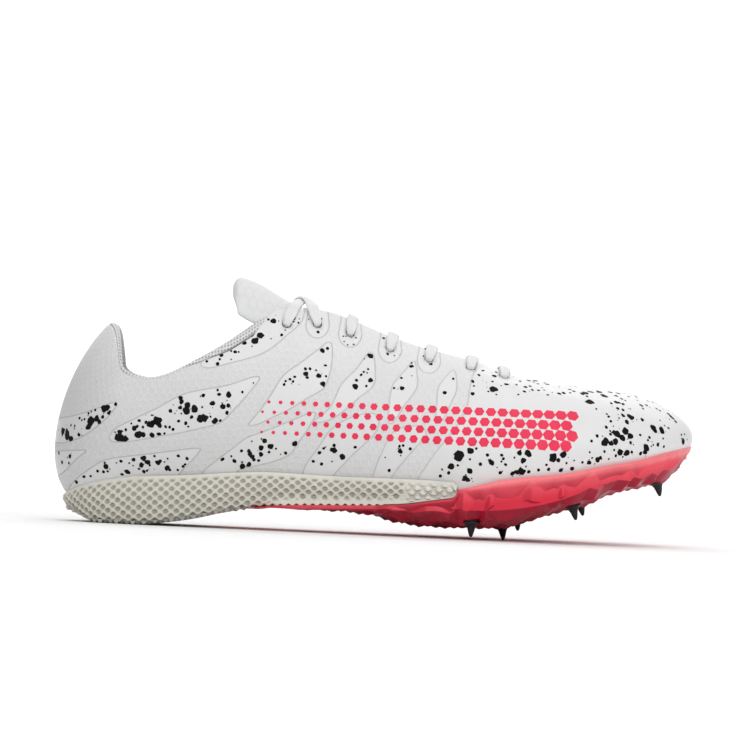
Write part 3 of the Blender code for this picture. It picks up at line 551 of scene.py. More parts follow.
# %% Group: hexagon net
def make_hexagon_net():
    """How far a place is from the middle of its hexagon, 0, to its side, 1."""
    shared, t, source, drain = new_group(
        "hexagon_net", [("Place", "NodeSocketVector", None), ("Pitch", "NodeSocketFloat", 0.0035)],
        [("Edge", "NodeSocketFloat")],
    )
    cell = (0.5, math.sqrt(3) / 2, 1e6)
    below_cell = tuple(-v for v in cell)
    scaled = t.scaled(source["Place"], t.math("DIVIDE", 1.0, source["Pitch"]))
    first = t.vector("WRAP", scaled, cell, below_cell)
    second = t.vector("WRAP", t.vector("SUBTRACT", scaled, (*cell[:2], 0.0)), cell, below_cell)
    sizes = [t.vector("DOT_PRODUCT", v, v, out="Value") for v in (first, second)]
    nearer = t.math("LESS_THAN", sizes[0], sizes[1])
    chosen = t.tree.nodes.new("ShaderNodeMix")
    chosen.data_type = "VECTOR"
    t.join(chosen.inputs[0], nearer)
    t.join(chosen.inputs[4], second)
    t.join(chosen.inputs[5], first)
    size = t.vector("ABSOLUTE", chosen.outputs[1])
    slanted = t.vector("DOT_PRODUCT", size, (*cell[:2], 0.0), out="Value")
    straight = t.vector("DOT_PRODUCT", size, (1.0, 0.0, 0.0), out="Value")
    t.join(drain["Edge"], t.math("MULTIPLY", t.math("MAXIMUM", slanted, straight), 2.0))
    return shared


HEXAGON_NET = make_hexagon_net()


# %% Group: fine grain
def make_grain():
    """An even fine roughness, and slow clouds for soiling and for uneven gloss."""
    shared, t, source, drain = new_group(
        "fine_grain", [("Place", "NodeSocketVector", None), ("Grain", "NodeSocketFloat", 2500.0)],
        [("Height", "NodeSocketFloat"), ("Clouds", "NodeSocketFloat")],
    )
    fine = {"Vector": source["Place"], "Scale": source["Grain"], "Detail": 3.0}
    slow = {"Vector": source["Place"], "Scale": 45.0, "Detail": 3.0, "Roughness": 0.55}
    t.join(drain["Height"], t.node("ShaderNodeTexNoise", fine))
    t.join(drain["Clouds"], t.node("ShaderNodeTexNoise", slow))
    return shared


GRAIN = make_grain()


# %% Group: woven strands
def make_weave():
    """Two sets of strands that cross: a height from the lengths along and across a strap."""
    shared, t, source, drain = new_group(
        "weave", [("Place", "NodeSocketVector", None), ("Pitch", "NodeSocketFloat", 0.0008)],
        [("Height", "NodeSocketFloat")],
    )
    along, across, _ = t.parts(t.scaled(source["Place"], t.math("DIVIDE", math.pi, source["Pitch"])))
    lean = t.math("ADD", along, across)
    back = t.math("SUBTRACT", along, across)
    waves = t.math("MULTIPLY", t.math("SINE", lean), t.math("SINE", back))
    t.join(drain["Height"], t.math("ADD", t.math("MULTIPLY", waves, 0.5), 0.5))
    return shared


WEAVE = make_weave()


# %% Helpers for materials
def finish(name, colour, roughness, **sockets):
    """A material with a Principled shader, its tree helper, and constant sockets set by name."""
    made = bpy.data.materials.new(name)
    made.use_nodes = True
    shader = made.node_tree.nodes["Principled BSDF"]
    socket_colour(shader, colour)
    shader.inputs["Roughness"].default_value = roughness
    for label, value in sockets.items():
        shader.inputs[label.replace("_", " ")].default_value = value
    made.diffuse_color = (*colour, 1.0)
    return made, Tree(made.node_tree), shader


def bump(tree, shader, height, distance, strength):
    made = {"Distance": distance, "Strength": strength, "Height": height}
    tree.join(shader.inputs["Normal"], tree.node("ShaderNodeBump", made))


def grey(value):
    return (value, value, value, 1)


print("groups:", [g.name for g in bpy.data.node_groups])

# %% [markdown]
# ## The film windows
# The upper is one coated mesh. Smooth film windows, shaped like leaves, lie between matt net bands that fan
# out from the eyelets, and the whole forefoot is smooth. A thin engraved line runs round each window. Each
# window is a short chart of its corners in millimetres, seen from the side; a curve is cut through them,
# and every vertex then stores its distance to the nearest window's edge. One stored number so gives the
# film, the net and the line.
# %% Chart of the windows
WINDOWS = {
    "heel_high": [(-30, 45), (-20.5, 47), (-8, 51.6), (-1.4, 54.6), (-0.9, 52.6), (-5, 47), (-11, 41.5),
        (-16, 38), (-22, 35.4), (-30, 34)],
    "heel_low": [(-30, 31), (-20, 31.6), (-13.6, 32.4), (-14.6, 31), (-18.4, 28), (-24, 21.4), (-30, 18)],
    "foot_rear": [(-24, 12), (-16.8, 20.4), (-14, 22.2), (-8.8, 26.4), (-3.4, 28.9), (6.6, 30.5),
        (18, 32.3), (27.3, 34), (34, 35.2), (37.2, 35.3), (37, 34), (33.7, 29.8), (30, 25.9), (26.5, 21),
        (20, 10)],
    "quarter": [(-4.2, 38.2), (-2.6, 40.8), (-0.6, 43), (5.1, 45.9), (10.9, 49.1), (17.3, 52.3),
        (23.7, 56.6), (30.1, 59.8), (39.4, 61.9), (46.6, 63.4), (52.3, 65.3), (58, 67.8), (61.9, 68.6),
        (62, 66.8), (58, 61.6), (55.1, 57.6), (51.6, 53.7), (48.7, 50.1), (45.9, 47.3), (43, 45.9),
        (35.9, 44), (28.7, 41.9), (18, 39.8), (8, 37.3), (0, 36.2), (-2.6, 36.4)],
    "collar": [(34.4, 71.7), (39.4, 70.9), (43.7, 72.3), (50.1, 74.2), (58, 76.6), (63.7, 79.1),
        (68, 82.3), (70.4, 84.6), (74.3, 88.4), (78.2, 91.9), (80.2, 95), (80.6, 103), (66, 104), (50, 90),
        (38, 78)],
    "leaf_1": [(57, 46), (59.5, 49), (63, 53.5), (66, 58.1), (68.2, 61.9), (71.4, 68.2), (75, 71.8),
        (80, 75.3), (84.3, 79.1), (88.6, 82.5), (90.7, 84.8), (92.5, 85.4), (93.6, 83.7), (93.9, 79.4),
        (93.6, 73.7), (92.5, 68.7), (91.1, 65.1), (89.3, 63.2), (86.4, 61.4), (83.6, 59.8), (80.7, 57.6),
        (74, 53.2), (67.3, 49.9), (62.5, 47)],
    "foot_1": [(36, 20), (38.4, 24.8), (43.7, 29.4), (48.7, 33.7), (52.3, 36.6), (57.3, 40.9), (62.3, 43),
        (65.7, 44.3), (70.7, 46.6), (77.1, 49.4), (83, 52.4), (87.4, 54), (87.6, 52), (84.6, 46.2),
        (82.1, 42.3), (79.3, 37.6), (77.1, 34.4), (74.3, 32.8), (69.3, 30.5), (61, 28.3), (54, 26.6),
        (50, 20)],
    "leaf_2": [(86, 49.4), (90, 52), (94.3, 56.2), (96.4, 61.6), (97.9, 65.9), (100.7, 69.4), (104.3, 73),
        (107.1, 77.1), (109.3, 80.7), (111.1, 81.8), (112.5, 79.8), (113.2, 73.7), (113.6, 69.4),
        (112.5, 66.1), (110, 63.7), (106.4, 60.9), (101.8, 56.2), (96, 51.4), (90, 49)],
    "foot_2": [(81.5, 20), (83.2, 26.9), (84.6, 30.9), (87.1, 34.4), (90, 38.7), (92.1, 42.6),
        (94.3, 45.9), (100, 50.6), (107, 53.6), (113.4, 54.6), (116, 52.6), (115.6, 48), (113.6, 44.3),
        (110, 40.5), (105, 35.9), (100.7, 30.6), (97.1, 26.6), (93, 20)],
    "leaf_3": [(119.4, 50), (120.1, 56.9), (120.4, 65.1), (121.6, 68.2), (124.4, 71.5), (127.4, 75.2),
        (129.4, 78.4), (130.9, 78.2), (131.7, 74.2), (132.5, 68), (131.4, 65.1), (129.3, 61.8),
        (126.8, 58.7), (124.6, 54.4), (122, 50)],
    "foot_3": [(113, 20), (114.3, 26.9), (115.7, 31.6), (117.9, 37.3), (119.6, 42.3), (122.4, 46.8),
        (128, 49.4), (134.4, 49.6), (137.2, 47.4), (136.6, 44.4), (134.3, 41.9), (132.1, 39.4),
        (129.3, 35.9), (126.4, 32.3), (122.9, 26.9), (119, 20)],
    "leaf_4": [(140.6, 51), (141.1, 56.9), (141.2, 65.1), (141.9, 68), (144, 71.1), (146.9, 74.6),
        (148.5, 75.4), (149.4, 72.5), (150, 68), (149.3, 64.4), (147.9, 61.6), (146.2, 57.3), (144, 52)],
    "forefoot": [(161, 100), (158.6, 78), (156.6, 72.8), (155.6, 68), (155.2, 62), (154.2, 57.5),
        (149.6, 49), (143.2, 40.5), (140, 35.9), (137.1, 30.9), (134.3, 26.9), (131, 18), (300, 18),
        (300, 100)],
}
print(sum(len(corners) for corners in WINDOWS.values()), "corners in", len(WINDOWS), "windows")


# %% Distance to the nearest window
TAB_WIDTH, TAB_DROP = 5.3, 6.4  # half-width of a smooth tab, and its depth below its eyelet, in millimetres
FAR = 14.0  # millimetres from a window within which the distance is worked out


def smooth_ring(corners, rounds=2):
    """Corners cut twice: a soft closed curve that keeps each tip."""
    ring = np.array(corners, float)
    for _ in range(rounds):
        ahead = np.roll(ring, -1, axis=0)
        ring = np.stack([ring * 0.75 + ahead * 0.25, ring * 0.25 + ahead * 0.75], 1).reshape(-1, 2)
    return ring


def eyelet_tab(x, z):
    low = [(x + TAB_WIDTH * math.sin(a), z - TAB_DROP * math.cos(a)) for a in np.linspace(-1.45, 1.45, 11)]
    return low + [(x + TAB_WIDTH - 1.0, z + 6), (x + TAB_WIDTH - 1.0, z + 20), (x - TAB_WIDTH + 1.0, z + 20),
                  (x - TAB_WIDTH + 1.0, z + 6)]


def ring_distance(ring, points):
    """Distance in the side view from points to a closed ring: positive inside it."""
    start, end = ring, np.roll(ring, -1, axis=0)
    best = np.full(len(points), 1e9)
    inside = np.zeros(len(points), bool)
    px, pz = points[:, 0], points[:, 1]
    for (ax, az), (bx, bz) in zip(start, end):
        dx, dz = bx - ax, bz - az
        t = np.clip(((px - ax) * dx + (pz - az) * dz) / max(dx * dx + dz * dz, 1e-12), 0, 1)
        best = np.minimum(best, (px - ax - t * dx) ** 2 + (pz - az - t * dz) ** 2)
        crosses = (az > pz) != (bz > pz)
        if dz:
            inside ^= crosses & (px < ax + (pz - az) * dx / dz)
    return np.where(inside, 1, -1) * np.sqrt(best)


def window_distance(points):
    """Distance in millimetres to the nearest edge of a window, positive on film, for points in metres."""
    side_view = np.asarray(points)[:, [0, 2]] / MM
    rings = [smooth_ring(corners) for corners in WINDOWS.values()]
    rings += [np.array(eyelet_tab(f[0][0] / MM, f[0][2] / MM)) for f in EYELET_FRAMES[OUTER][1:5]]
    best = np.full(len(side_view), -1e9)
    for ring in rings:
        low, high = ring.min(0) - FAR, ring.max(0) + FAR
        near = np.all((side_view > low) & (side_view < high), axis=1)
        found = np.full(len(side_view), -FAR)
        found[near] = ring_distance(ring, side_view[near])
        best = np.maximum(best, found)
    return best


print(len(WINDOWS), "windows and", len(EYELETS[1:5]), "eyelet tabs on each side")

# %% [markdown]
# ## The shell of the upper
# On the real shoe this is a single piece of coated mesh, glued and stitched to its last. Here it is a dense
# sheet of columns, from the sole's rim up to the top line. It is dense because the film's edges, and holes
# for the eyelets, have to follow its vertices. Its top edge is turned inwards over the thickness of the
# wall.
# %% The grid of the upper
SHELL_COLUMNS = 330
SHELL_ROWS = 104
COLLAR_TURN, COLLAR_FADE = 0.392, 0.02  # the turn where the collar's edge ends, and over how much it fades
COLLAR_SHOW = [  # x, and the height of padded knit that shows above the shell's edge there, in millimetres
    (-40, 2.8), (0, 2.8), (8, 1.7), (20, 1.7), (28, 2.1), (38, 3.8), (48, 6.0), (56, 6.8), (120, 6.8),
]
EDGE_ROUND = 0.0008
THROAT_TURN = float(np.interp(THROAT_END, _top_x(np.linspace(0.6, 0.75, 400)), np.linspace(0.6, 0.75, 400)))


def column_turns(count):
    """Turns close to evenly spaced along the outline, with one at the front of the throat."""
    fine = np.linspace(0, 1, 1500)
    middle = upper_grid(OUTER, fine, 0.35)
    run = walked(middle)
    turns = np.interp(np.linspace(0, run[-1], count), run, fine)
    turns[np.argmin(np.abs(turns - THROAT_TURN))] = THROAT_TURN
    return turns


# %% Points, normals and the collar's edge
def side_grid(side, turns, rises):
    """Points and outward normals over one side; rises holds a row of rises for each turn."""
    at, turn_step, rise_step = turns[:, None], 0.004, 0.01
    ahead = upper_grid(side, np.minimum(at + turn_step, 1), rises)
    behind = upper_grid(side, np.maximum(at - turn_step, 0), rises)
    above = upper_grid(side, at, np.minimum(rises + rise_step, 1))
    below = upper_grid(side, at, np.maximum(rises - rise_step, 0))
    return upper_grid(side, at, rises), unit(np.cross(ahead - behind, above - below) * side * -1)


def collar_share(turn):
    """1 along the padded collar, fading to 0 where the throat starts."""
    return np.clip((COLLAR_TURN - np.asarray(turn)) / COLLAR_FADE, 0, 1)


def collar_show(turn):
    rows = np.array(COLLAR_SHOW) * MM
    return np.interp(place(_top_x(np.asarray(turn))), rows[:, 0], rows[:, 1])


def end_rise(side, turns, drops, rises):
    """The rises that lie given lengths below the top line, for each turn, looked up on a row of rises."""
    lines = upper_grid(side, turns[:, None], rises[None, :])
    steps = np.linalg.norm(np.diff(lines, axis=1), axis=2)
    left = np.cumsum(steps[:, ::-1], axis=1)[:, ::-1]
    left = np.concatenate([left, np.zeros((len(turns), 1))], axis=1)
    return np.array([np.interp(-drop, -row, rises) for drop, row in zip(drops, left)])


CUP_DEPTH = [(0.165, 0.0055), (0.180, 0.0025), (0.235, 0.0025), (0.245, 0.0006)]  # how deep feet stand, by x


def sole_wall(side, turns):
    """Feet of the shell: the line just above the rim, dropped into the sole's cup."""
    plan, _ = outline(side, turns, FOOT_INSET)
    x = plan[:, 0]
    depth = np.interp(x, *zip(*CUP_DEPTH))
    return np.concatenate([plan, np.maximum(rim_height(x) - depth, bed_height(x) + FOOT_STAND)[:, None]], -1)


print("throat ends at turn", round(THROAT_TURN, 3))


# %% Build the shell
def shell_side(side, turns):
    """The columns of one side: feet in the sole's cup, then rows up to the shell's edge."""
    open_top = turns < THROAT_TURN - 1e-9
    show = np.where(open_top, EDGE_ROUND + (collar_show(turns) - EDGE_ROUND) * collar_share(turns), 0.0)
    ends = np.where(open_top, end_rise(side, turns, show, np.linspace(0.4, 1.0, 240)), 1.0)
    rises = np.linspace(0, 1, SHELL_ROWS + 1)[None, :] * ends[:, None]
    points, normals = side_grid(side, turns, rises)
    feet = sole_wall(side, turns)[:, None, :]
    return np.concatenate([feet, points], 1), np.concatenate([normals[:, :1], normals], 1), open_top, ends


def ring_of(outer, inner):
    """One ring of columns: the outer side towards the toe, the inner side back to the heel."""
    return np.concatenate([outer, inner[-2:0:-1]], 0)


def shell_lengths(points):
    """For each vertex, the length along the girth at mid height and the length up its column."""
    along = walked(points[:, points.shape[1] // 3])
    up = walked_columns(points)
    return np.stack([np.broadcast_to(along[:, None], up.shape), up, np.zeros_like(up)], -1)


turns = column_turns(SHELL_COLUMNS)
sides = {side: shell_side(side, turns) for side in (OUTER, INNER)}
shell_points = ring_of(sides[OUTER][0], sides[INNER][0])
shell_normals = ring_of(sides[OUTER][1], sides[INNER][1])
shell_open = ring_of(sides[OUTER][2], sides[INNER][2])
shell_flat = ring_of(shell_lengths(sides[OUTER][0]), shell_lengths(sides[INNER][0]))
columns, rows = shell_points.shape[:2]
index = np.arange(columns * rows).reshape(columns, rows)
for column in range(SHELL_COLUMNS, columns):  # ahead of the throat the two sides share their top vertices
    if not shell_open[column]:
        index[column, -1] = index[2 * (SHELL_COLUMNS - 1) - column, -1]
print("grid", columns, "x", rows, "ring columns")

# %% [markdown]
# The coated mesh keeps a few soft folds beside the eyelets and where the toes bend the vamp. Each is a
# charted line, pressed in or raised along the surface's normal with a smooth section. Low at the heel
# and at the toe the shell also swells out to meet the edge of the sole.
# %% Press the folds in
# x and z of both ends, width and height (below 0 pressed in), in millimetres; and the side, or 0 for both
FOLDS = [
    (154.0, 77.6, 162.0, 76.6, 1.5, -0.75, 0), (154.5, 79.4, 162.0, 78.6, 1.6, 0.45, 0),
    (101.3, 90.6, 102.8, 84.8, 1.1, -0.50, 0), (104.4, 88.2, 106.0, 84.6, 1.1, -0.45, 0),
    (120.2, 82.4, 118.6, 79.8, 1.1, -0.45, 0), (121.4, 82.2, 124.6, 80.2, 1.1, -0.45, 0),
    (137.2, 76.8, 135.8, 79.4, 1.1, -0.45, 0), (138.2, 76.2, 141.4, 77.6, 1.1, -0.45, 0),
    (88.0, 92.0, 93.0, 86.0, 1.6, -0.40, 0), (172.0, 70.5, 178.0, 58.0, 3.6, -0.35, 0),
    (181.0, 68.0, 186.0, 55.0, 3.6, -0.28, 0), (166.0, 71.5, 171.0, 60.0, 3.0, 0.22, 0),
    (60.0, 68.0, 74.0, 76.0, 2.6, -0.22, 0), (10.0, 60.0, 26.0, 52.0, 4.0, -0.20, 0),
]
HEEL_SWELL = 0.0018


def folds_at(points):
    """Height of all the folds together at each point, in metres."""
    x, z = points[..., 0] / MM, points[..., 2] / MM
    total = np.zeros_like(x)
    for x0, z0, x1, z1, width, height, side in FOLDS:
        run = np.array([x1 - x0, z1 - z0])
        share = np.clip(((x - x0) * run[0] + (z - z0) * run[1]) / (run @ run), 0, 1)
        away = np.hypot(x - x0 - share * run[0], z - z0 - share * run[1])
        ends = 0.35 + 0.65 * np.sin(math.pi * share)
        here = height * ends * np.exp(-((away / width) ** 2))
        total += here if side == 0 else here * (points[..., 1] * side > 0)
    return total * MM


heel_near = np.clip((0.018 - shell_points[..., 0]) / 0.030, 0, 1)
over_rim = np.maximum(shell_points[..., 2] - rim_height(shell_points[..., 0]), 0)
toe_near = np.clip((shell_points[..., 0] - 0.222) / 0.030, 0, 1)
swell = HEEL_SWELL * (heel_near * np.exp(-over_rim / 0.009) + toe_near * np.exp(-over_rim / 0.011))
shell_points = shell_points + shell_normals * (folds_at(shell_points) + swell)[..., None]
print(len(FOLDS), "folds, deepest", round(float(folds_at(shell_points).min()) / MM, 2), "mm")


# %% Eyelet holes and the turned edge
HOLE_MARGIN = 0.0003  # grid vertices this near to a hole's edge go as well
HOLE_DEPTH = 0.004  # how far from the eyelet's own level a vertex can lie and still belong to its hole
EDGE_ANGLES = (45, 90, 135, 180)  # degrees of the half turn over the top edge
EDGE_TAIL = 0.004  # how far the turned edge reaches down inside


def shell_mesh(points, normals, flat, index, is_open, wall):
    """Faces of the grid with round eyelet holes, and walls turned in at the holes and the top line."""
    verts = list(points.reshape(-1, 3))
    lengths = list(flat.reshape(-1, 3))
    after = np.roll(index, -1, 0)
    cells = np.stack([index[:, :-1], after[:, :-1], after[:, 1:], index[:, 1:]], -1).reshape(-1, 4)
    flat_points = points.reshape(-1, 3)
    walls = []
    for side in (OUTER, INNER):
        for middle, normal, _, _ in EYELET_FRAMES[side]:
            away = flat_points - middle
            depth = away @ normal
            level = away - depth[:, None] * normal
            radius = np.linalg.norm(level, axis=1)
            inside = (radius < EYELET_RADIUS + HOLE_MARGIN) & (np.abs(depth) < HOLE_DEPTH)
            gone = inside[cells].any(axis=1)
            edge_verts = np.setdiff1d(np.unique(cells[gone]), np.nonzero(inside)[0])
            edges = {}
            for cell in cells[gone]:
                for a, b in zip(cell, np.roll(cell, -1)):
                    if not inside[a] and not inside[b]:
                        edges[(int(a), int(b))] = True
            edges = [pair for pair in edges if (pair[1], pair[0]) not in edges]
            cells = cells[~gone]
            for v in edge_verts:
                way = level[v] / radius[v]
                verts[v] = middle + way * EYELET_RADIUS + normal * depth[v]
                flat_points[v] = verts[v]
            deep = {}
            for v in {v for pair in edges for v in pair}:
                deep[v] = len(verts)
                verts.append(verts[v] - normal * wall)
                lengths.append(lengths[v])
            walls += [(a, b, deep[b], deep[a]) for a, b in edges]
    cells = [tuple(dict.fromkeys(cell)) for cell in cells.tolist()]
    rim_rows = []
    for column in range(len(points)):
        top, normal = points[column, -1], normals[column, -1]
        along = points[column, -1] - points[column, -3]
        along = along / max(np.linalg.norm(along), 1e-9)
        row = [int(index[column, -1])]
        for angle in EDGE_ANGLES:
            c, s = math.cos(math.radians(angle)), math.sin(math.radians(angle))
            row.append(len(verts))
            verts.append(top + normal * (c - 1) * wall / 2 + along * s * wall / 2)
            lengths.append(lengths[row[0]])
        row.append(len(verts))
        verts.append(top - normal * wall - along * EDGE_TAIL)
        lengths.append(lengths[row[0]])
        rim_rows.append(row)
    for column in range(len(points)):
        after = (column + 1) % len(points)
        if is_open[column] and is_open[after]:
            here, there = rim_rows[column], rim_rows[after]
            walls += [(here[a], there[a], there[a + 1], here[a + 1]) for a in range(len(here) - 1)]
    return verts, lengths, [c for c in cells if len(c) > 2] + walls


# %% Build the shell's mesh
def tidy(made):
    """Merge doubles and drop stray vertices; the stored lengths stay with their vertices."""
    with editing(made) as shape:
        bmesh.ops.remove_doubles(shape, verts=shape.verts, dist=1e-6)
        loose = [v for v in shape.verts if not v.link_faces]
        bmesh.ops.delete(shape, geom=loose, context="VERTS")
    made.data.shade_smooth()


verts, lengths, faces = shell_mesh(
    shell_points.copy(), shell_normals, shell_flat, index, shell_open, UPPER_WALL * 0.75)
shell = mesh_object("upper_shell", verts, faces)
store(shell.data, "weave_place", lengths, "FLOAT_VECTOR")
tidy(shell)
film_place = window_distance(vertex_array(shell.data))
store(shell.data, "window", film_place)
print("shell:", triangles(shell), "triangles,", round(100 * float((film_place > 0).mean())), "% on film")

# %% [markdown]
# The finish of the shell reads the stored distance. On film it is smooth and a little glossy; between
# windows it is a matt net of hexagons with a bump; at the edge a thin grey line is engraved.
# %% Finish of the shell
upper_finish, t, shader = finish("upper_coated_mesh", (0.79, 0.79, 0.79), 0.45, Specular_IOR_Level=0.35)
window = t.attribute("window")
film = t.ramp(window, -0.25, 0.25)
line = t.math("SUBTRACT", 1.0, t.ramp(t.math("ABSOLUTE", window), 0.08, 0.36))
x, _, z = t.parts(t.place())
# ahead: a mask from the middle of the shoe to the toe. It paints the net lighter towards the toe, painted
# light where more light falls, and it also makes the engraved line fainter there.
ahead = t.ramp(x, 0.050, 0.150)
# low: height with a lean along the shoe; it places the painted shade low at the rear.
low = t.math("ADD", z, t.math("MULTIPLY", x, 0.25))
ridge = t.ramp(t.weave(HEXAGON_NET, 0.0034), 0.62, 0.94)
grain, clouds = t.grain(2600.0)
net_colour = t.mix(ridge, grey(0.715), grey(0.765))
net_colour = t.mix(t.math("MULTIPLY", ahead, 0.55), net_colour, grey(0.79))
# Painted highlight: the net is painted lighter high up, towards the collar and the heel tab, where the light
# from above falls.
net_colour = t.mix(t.ramp(z, 0.062, 0.086, 0.0, 0.75), net_colour, grey(0.82))
base = t.mix(film, net_colour, grey(0.79))
# Painted shade: low towards the heel the shell is painted darker, as shade below the light from above and in
# front.
base = t.mix(t.ramp(low, 0.030, 0.088, 0.40, 0.0), base, grey(0.52))
deep = t.math("SUBTRACT", 0.46, t.math("MULTIPLY", ahead, 0.16))
base = t.mix(t.math("MULTIPLY", line, deep), base, grey(0.40))
base = t.mix(t.ramp(clouds, 0.52, 0.75, 0.0, 0.10), base, grey(0.62))
t.join(shader.inputs["Base Color"], base)
gloss = t.math("ADD", t.ramp(film, 0.0, 1.0, 0.62, 0.34), t.ramp(clouds, 0.3, 0.7, -0.04, 0.06))
t.join(shader.inputs["Roughness"], gloss)
height = t.math("MULTIPLY", ridge, t.math("MULTIPLY", 0.7, t.math("SUBTRACT", 1.0, film)))
height = t.math("ADD", height, t.math("MULTIPLY", line, -1.0))
height = t.math("ADD", height, t.math("MULTIPLY", grain, 0.22))
bump(t, shader, height, 0.00022, 0.9)
shell.data.materials.append(upper_finish)

# %% Helpers for Geometry Nodes
def nodes_tree(name, inputs):
    """A Geometry Nodes tree with a geometry input and output and named number inputs."""
    tree = bpy.data.node_groups.new(name, "GeometryNodeTree")
    tree.interface.new_socket(name="Geometry", in_out="INPUT", socket_type="NodeSocketGeometry")
    for label, kind, value in inputs:
        socket = tree.interface.new_socket(name=label, in_out="INPUT", socket_type=kind)
        if value is not None:
            socket.default_value = value
    tree.interface.new_socket(name="Geometry", in_out="OUTPUT", socket_type="NodeSocketGeometry")
    source, drain = tree.nodes.new("NodeGroupInput").outputs, tree.nodes.new("NodeGroupOutput").inputs
    return tree, Tree(tree), source, drain


def stored(t, name, kind):
    return t.node("GeometryNodeInputNamedAttribute", {"Name": name}, data_type=kind)


def spread(t, source, thing, size=None):
    """A copy of a thing on each point, turned to the point's facing, and made real."""
    facing = stored(t, "facing", "FLOAT_VECTOR")
    turn = t.node("FunctionNodeAlignRotationToVector", {"Vector": facing}, axis="Z")
    inputs = {"Points": source["Geometry"], "Instance": thing, "Rotation": turn, "Scale": size}
    return t.node("GeometryNodeRealizeInstances", t.node("GeometryNodeInstanceOnPoints", inputs))


def painted(t, drain, shape, material):
    made = {"Geometry": shape, "Material": material}
    t.join(drain["Geometry"], t.node("GeometryNodeSetMaterial", made))


# %% Run a tree and keep its mesh
def run_tree(name, points, tree, values, material):
    """Run a tree on loose points, which are places and the data stored there, and keep a plain mesh."""
    places, data = points
    carrier = mesh_object(name + "_points", places, [])
    for label, (kind, numbers) in data.items():
        store(carrier.data, label, numbers, kind)
    change = carrier.modifiers.new("nodes", "NODES")
    change.node_group = tree
    for item in tree.interface.items_tree:
        if item.item_type == "SOCKET" and item.in_out == "INPUT" and item.name in values:
            change[item.identifier] = values[item.name]
    graph = bpy.context.evaluated_depsgraph_get()
    mesh = bpy.data.meshes.new_from_object(carrier.evaluated_get(graph), depsgraph=graph)
    carrier.modifiers.clear()
    bpy.data.objects.remove(carrier)
    mesh.name = name
    made = bpy.data.objects.new(name, mesh)
    bpy.context.scene.collection.objects.link(made)
    if not mesh.materials:
        mesh.materials.append(material)
    return made
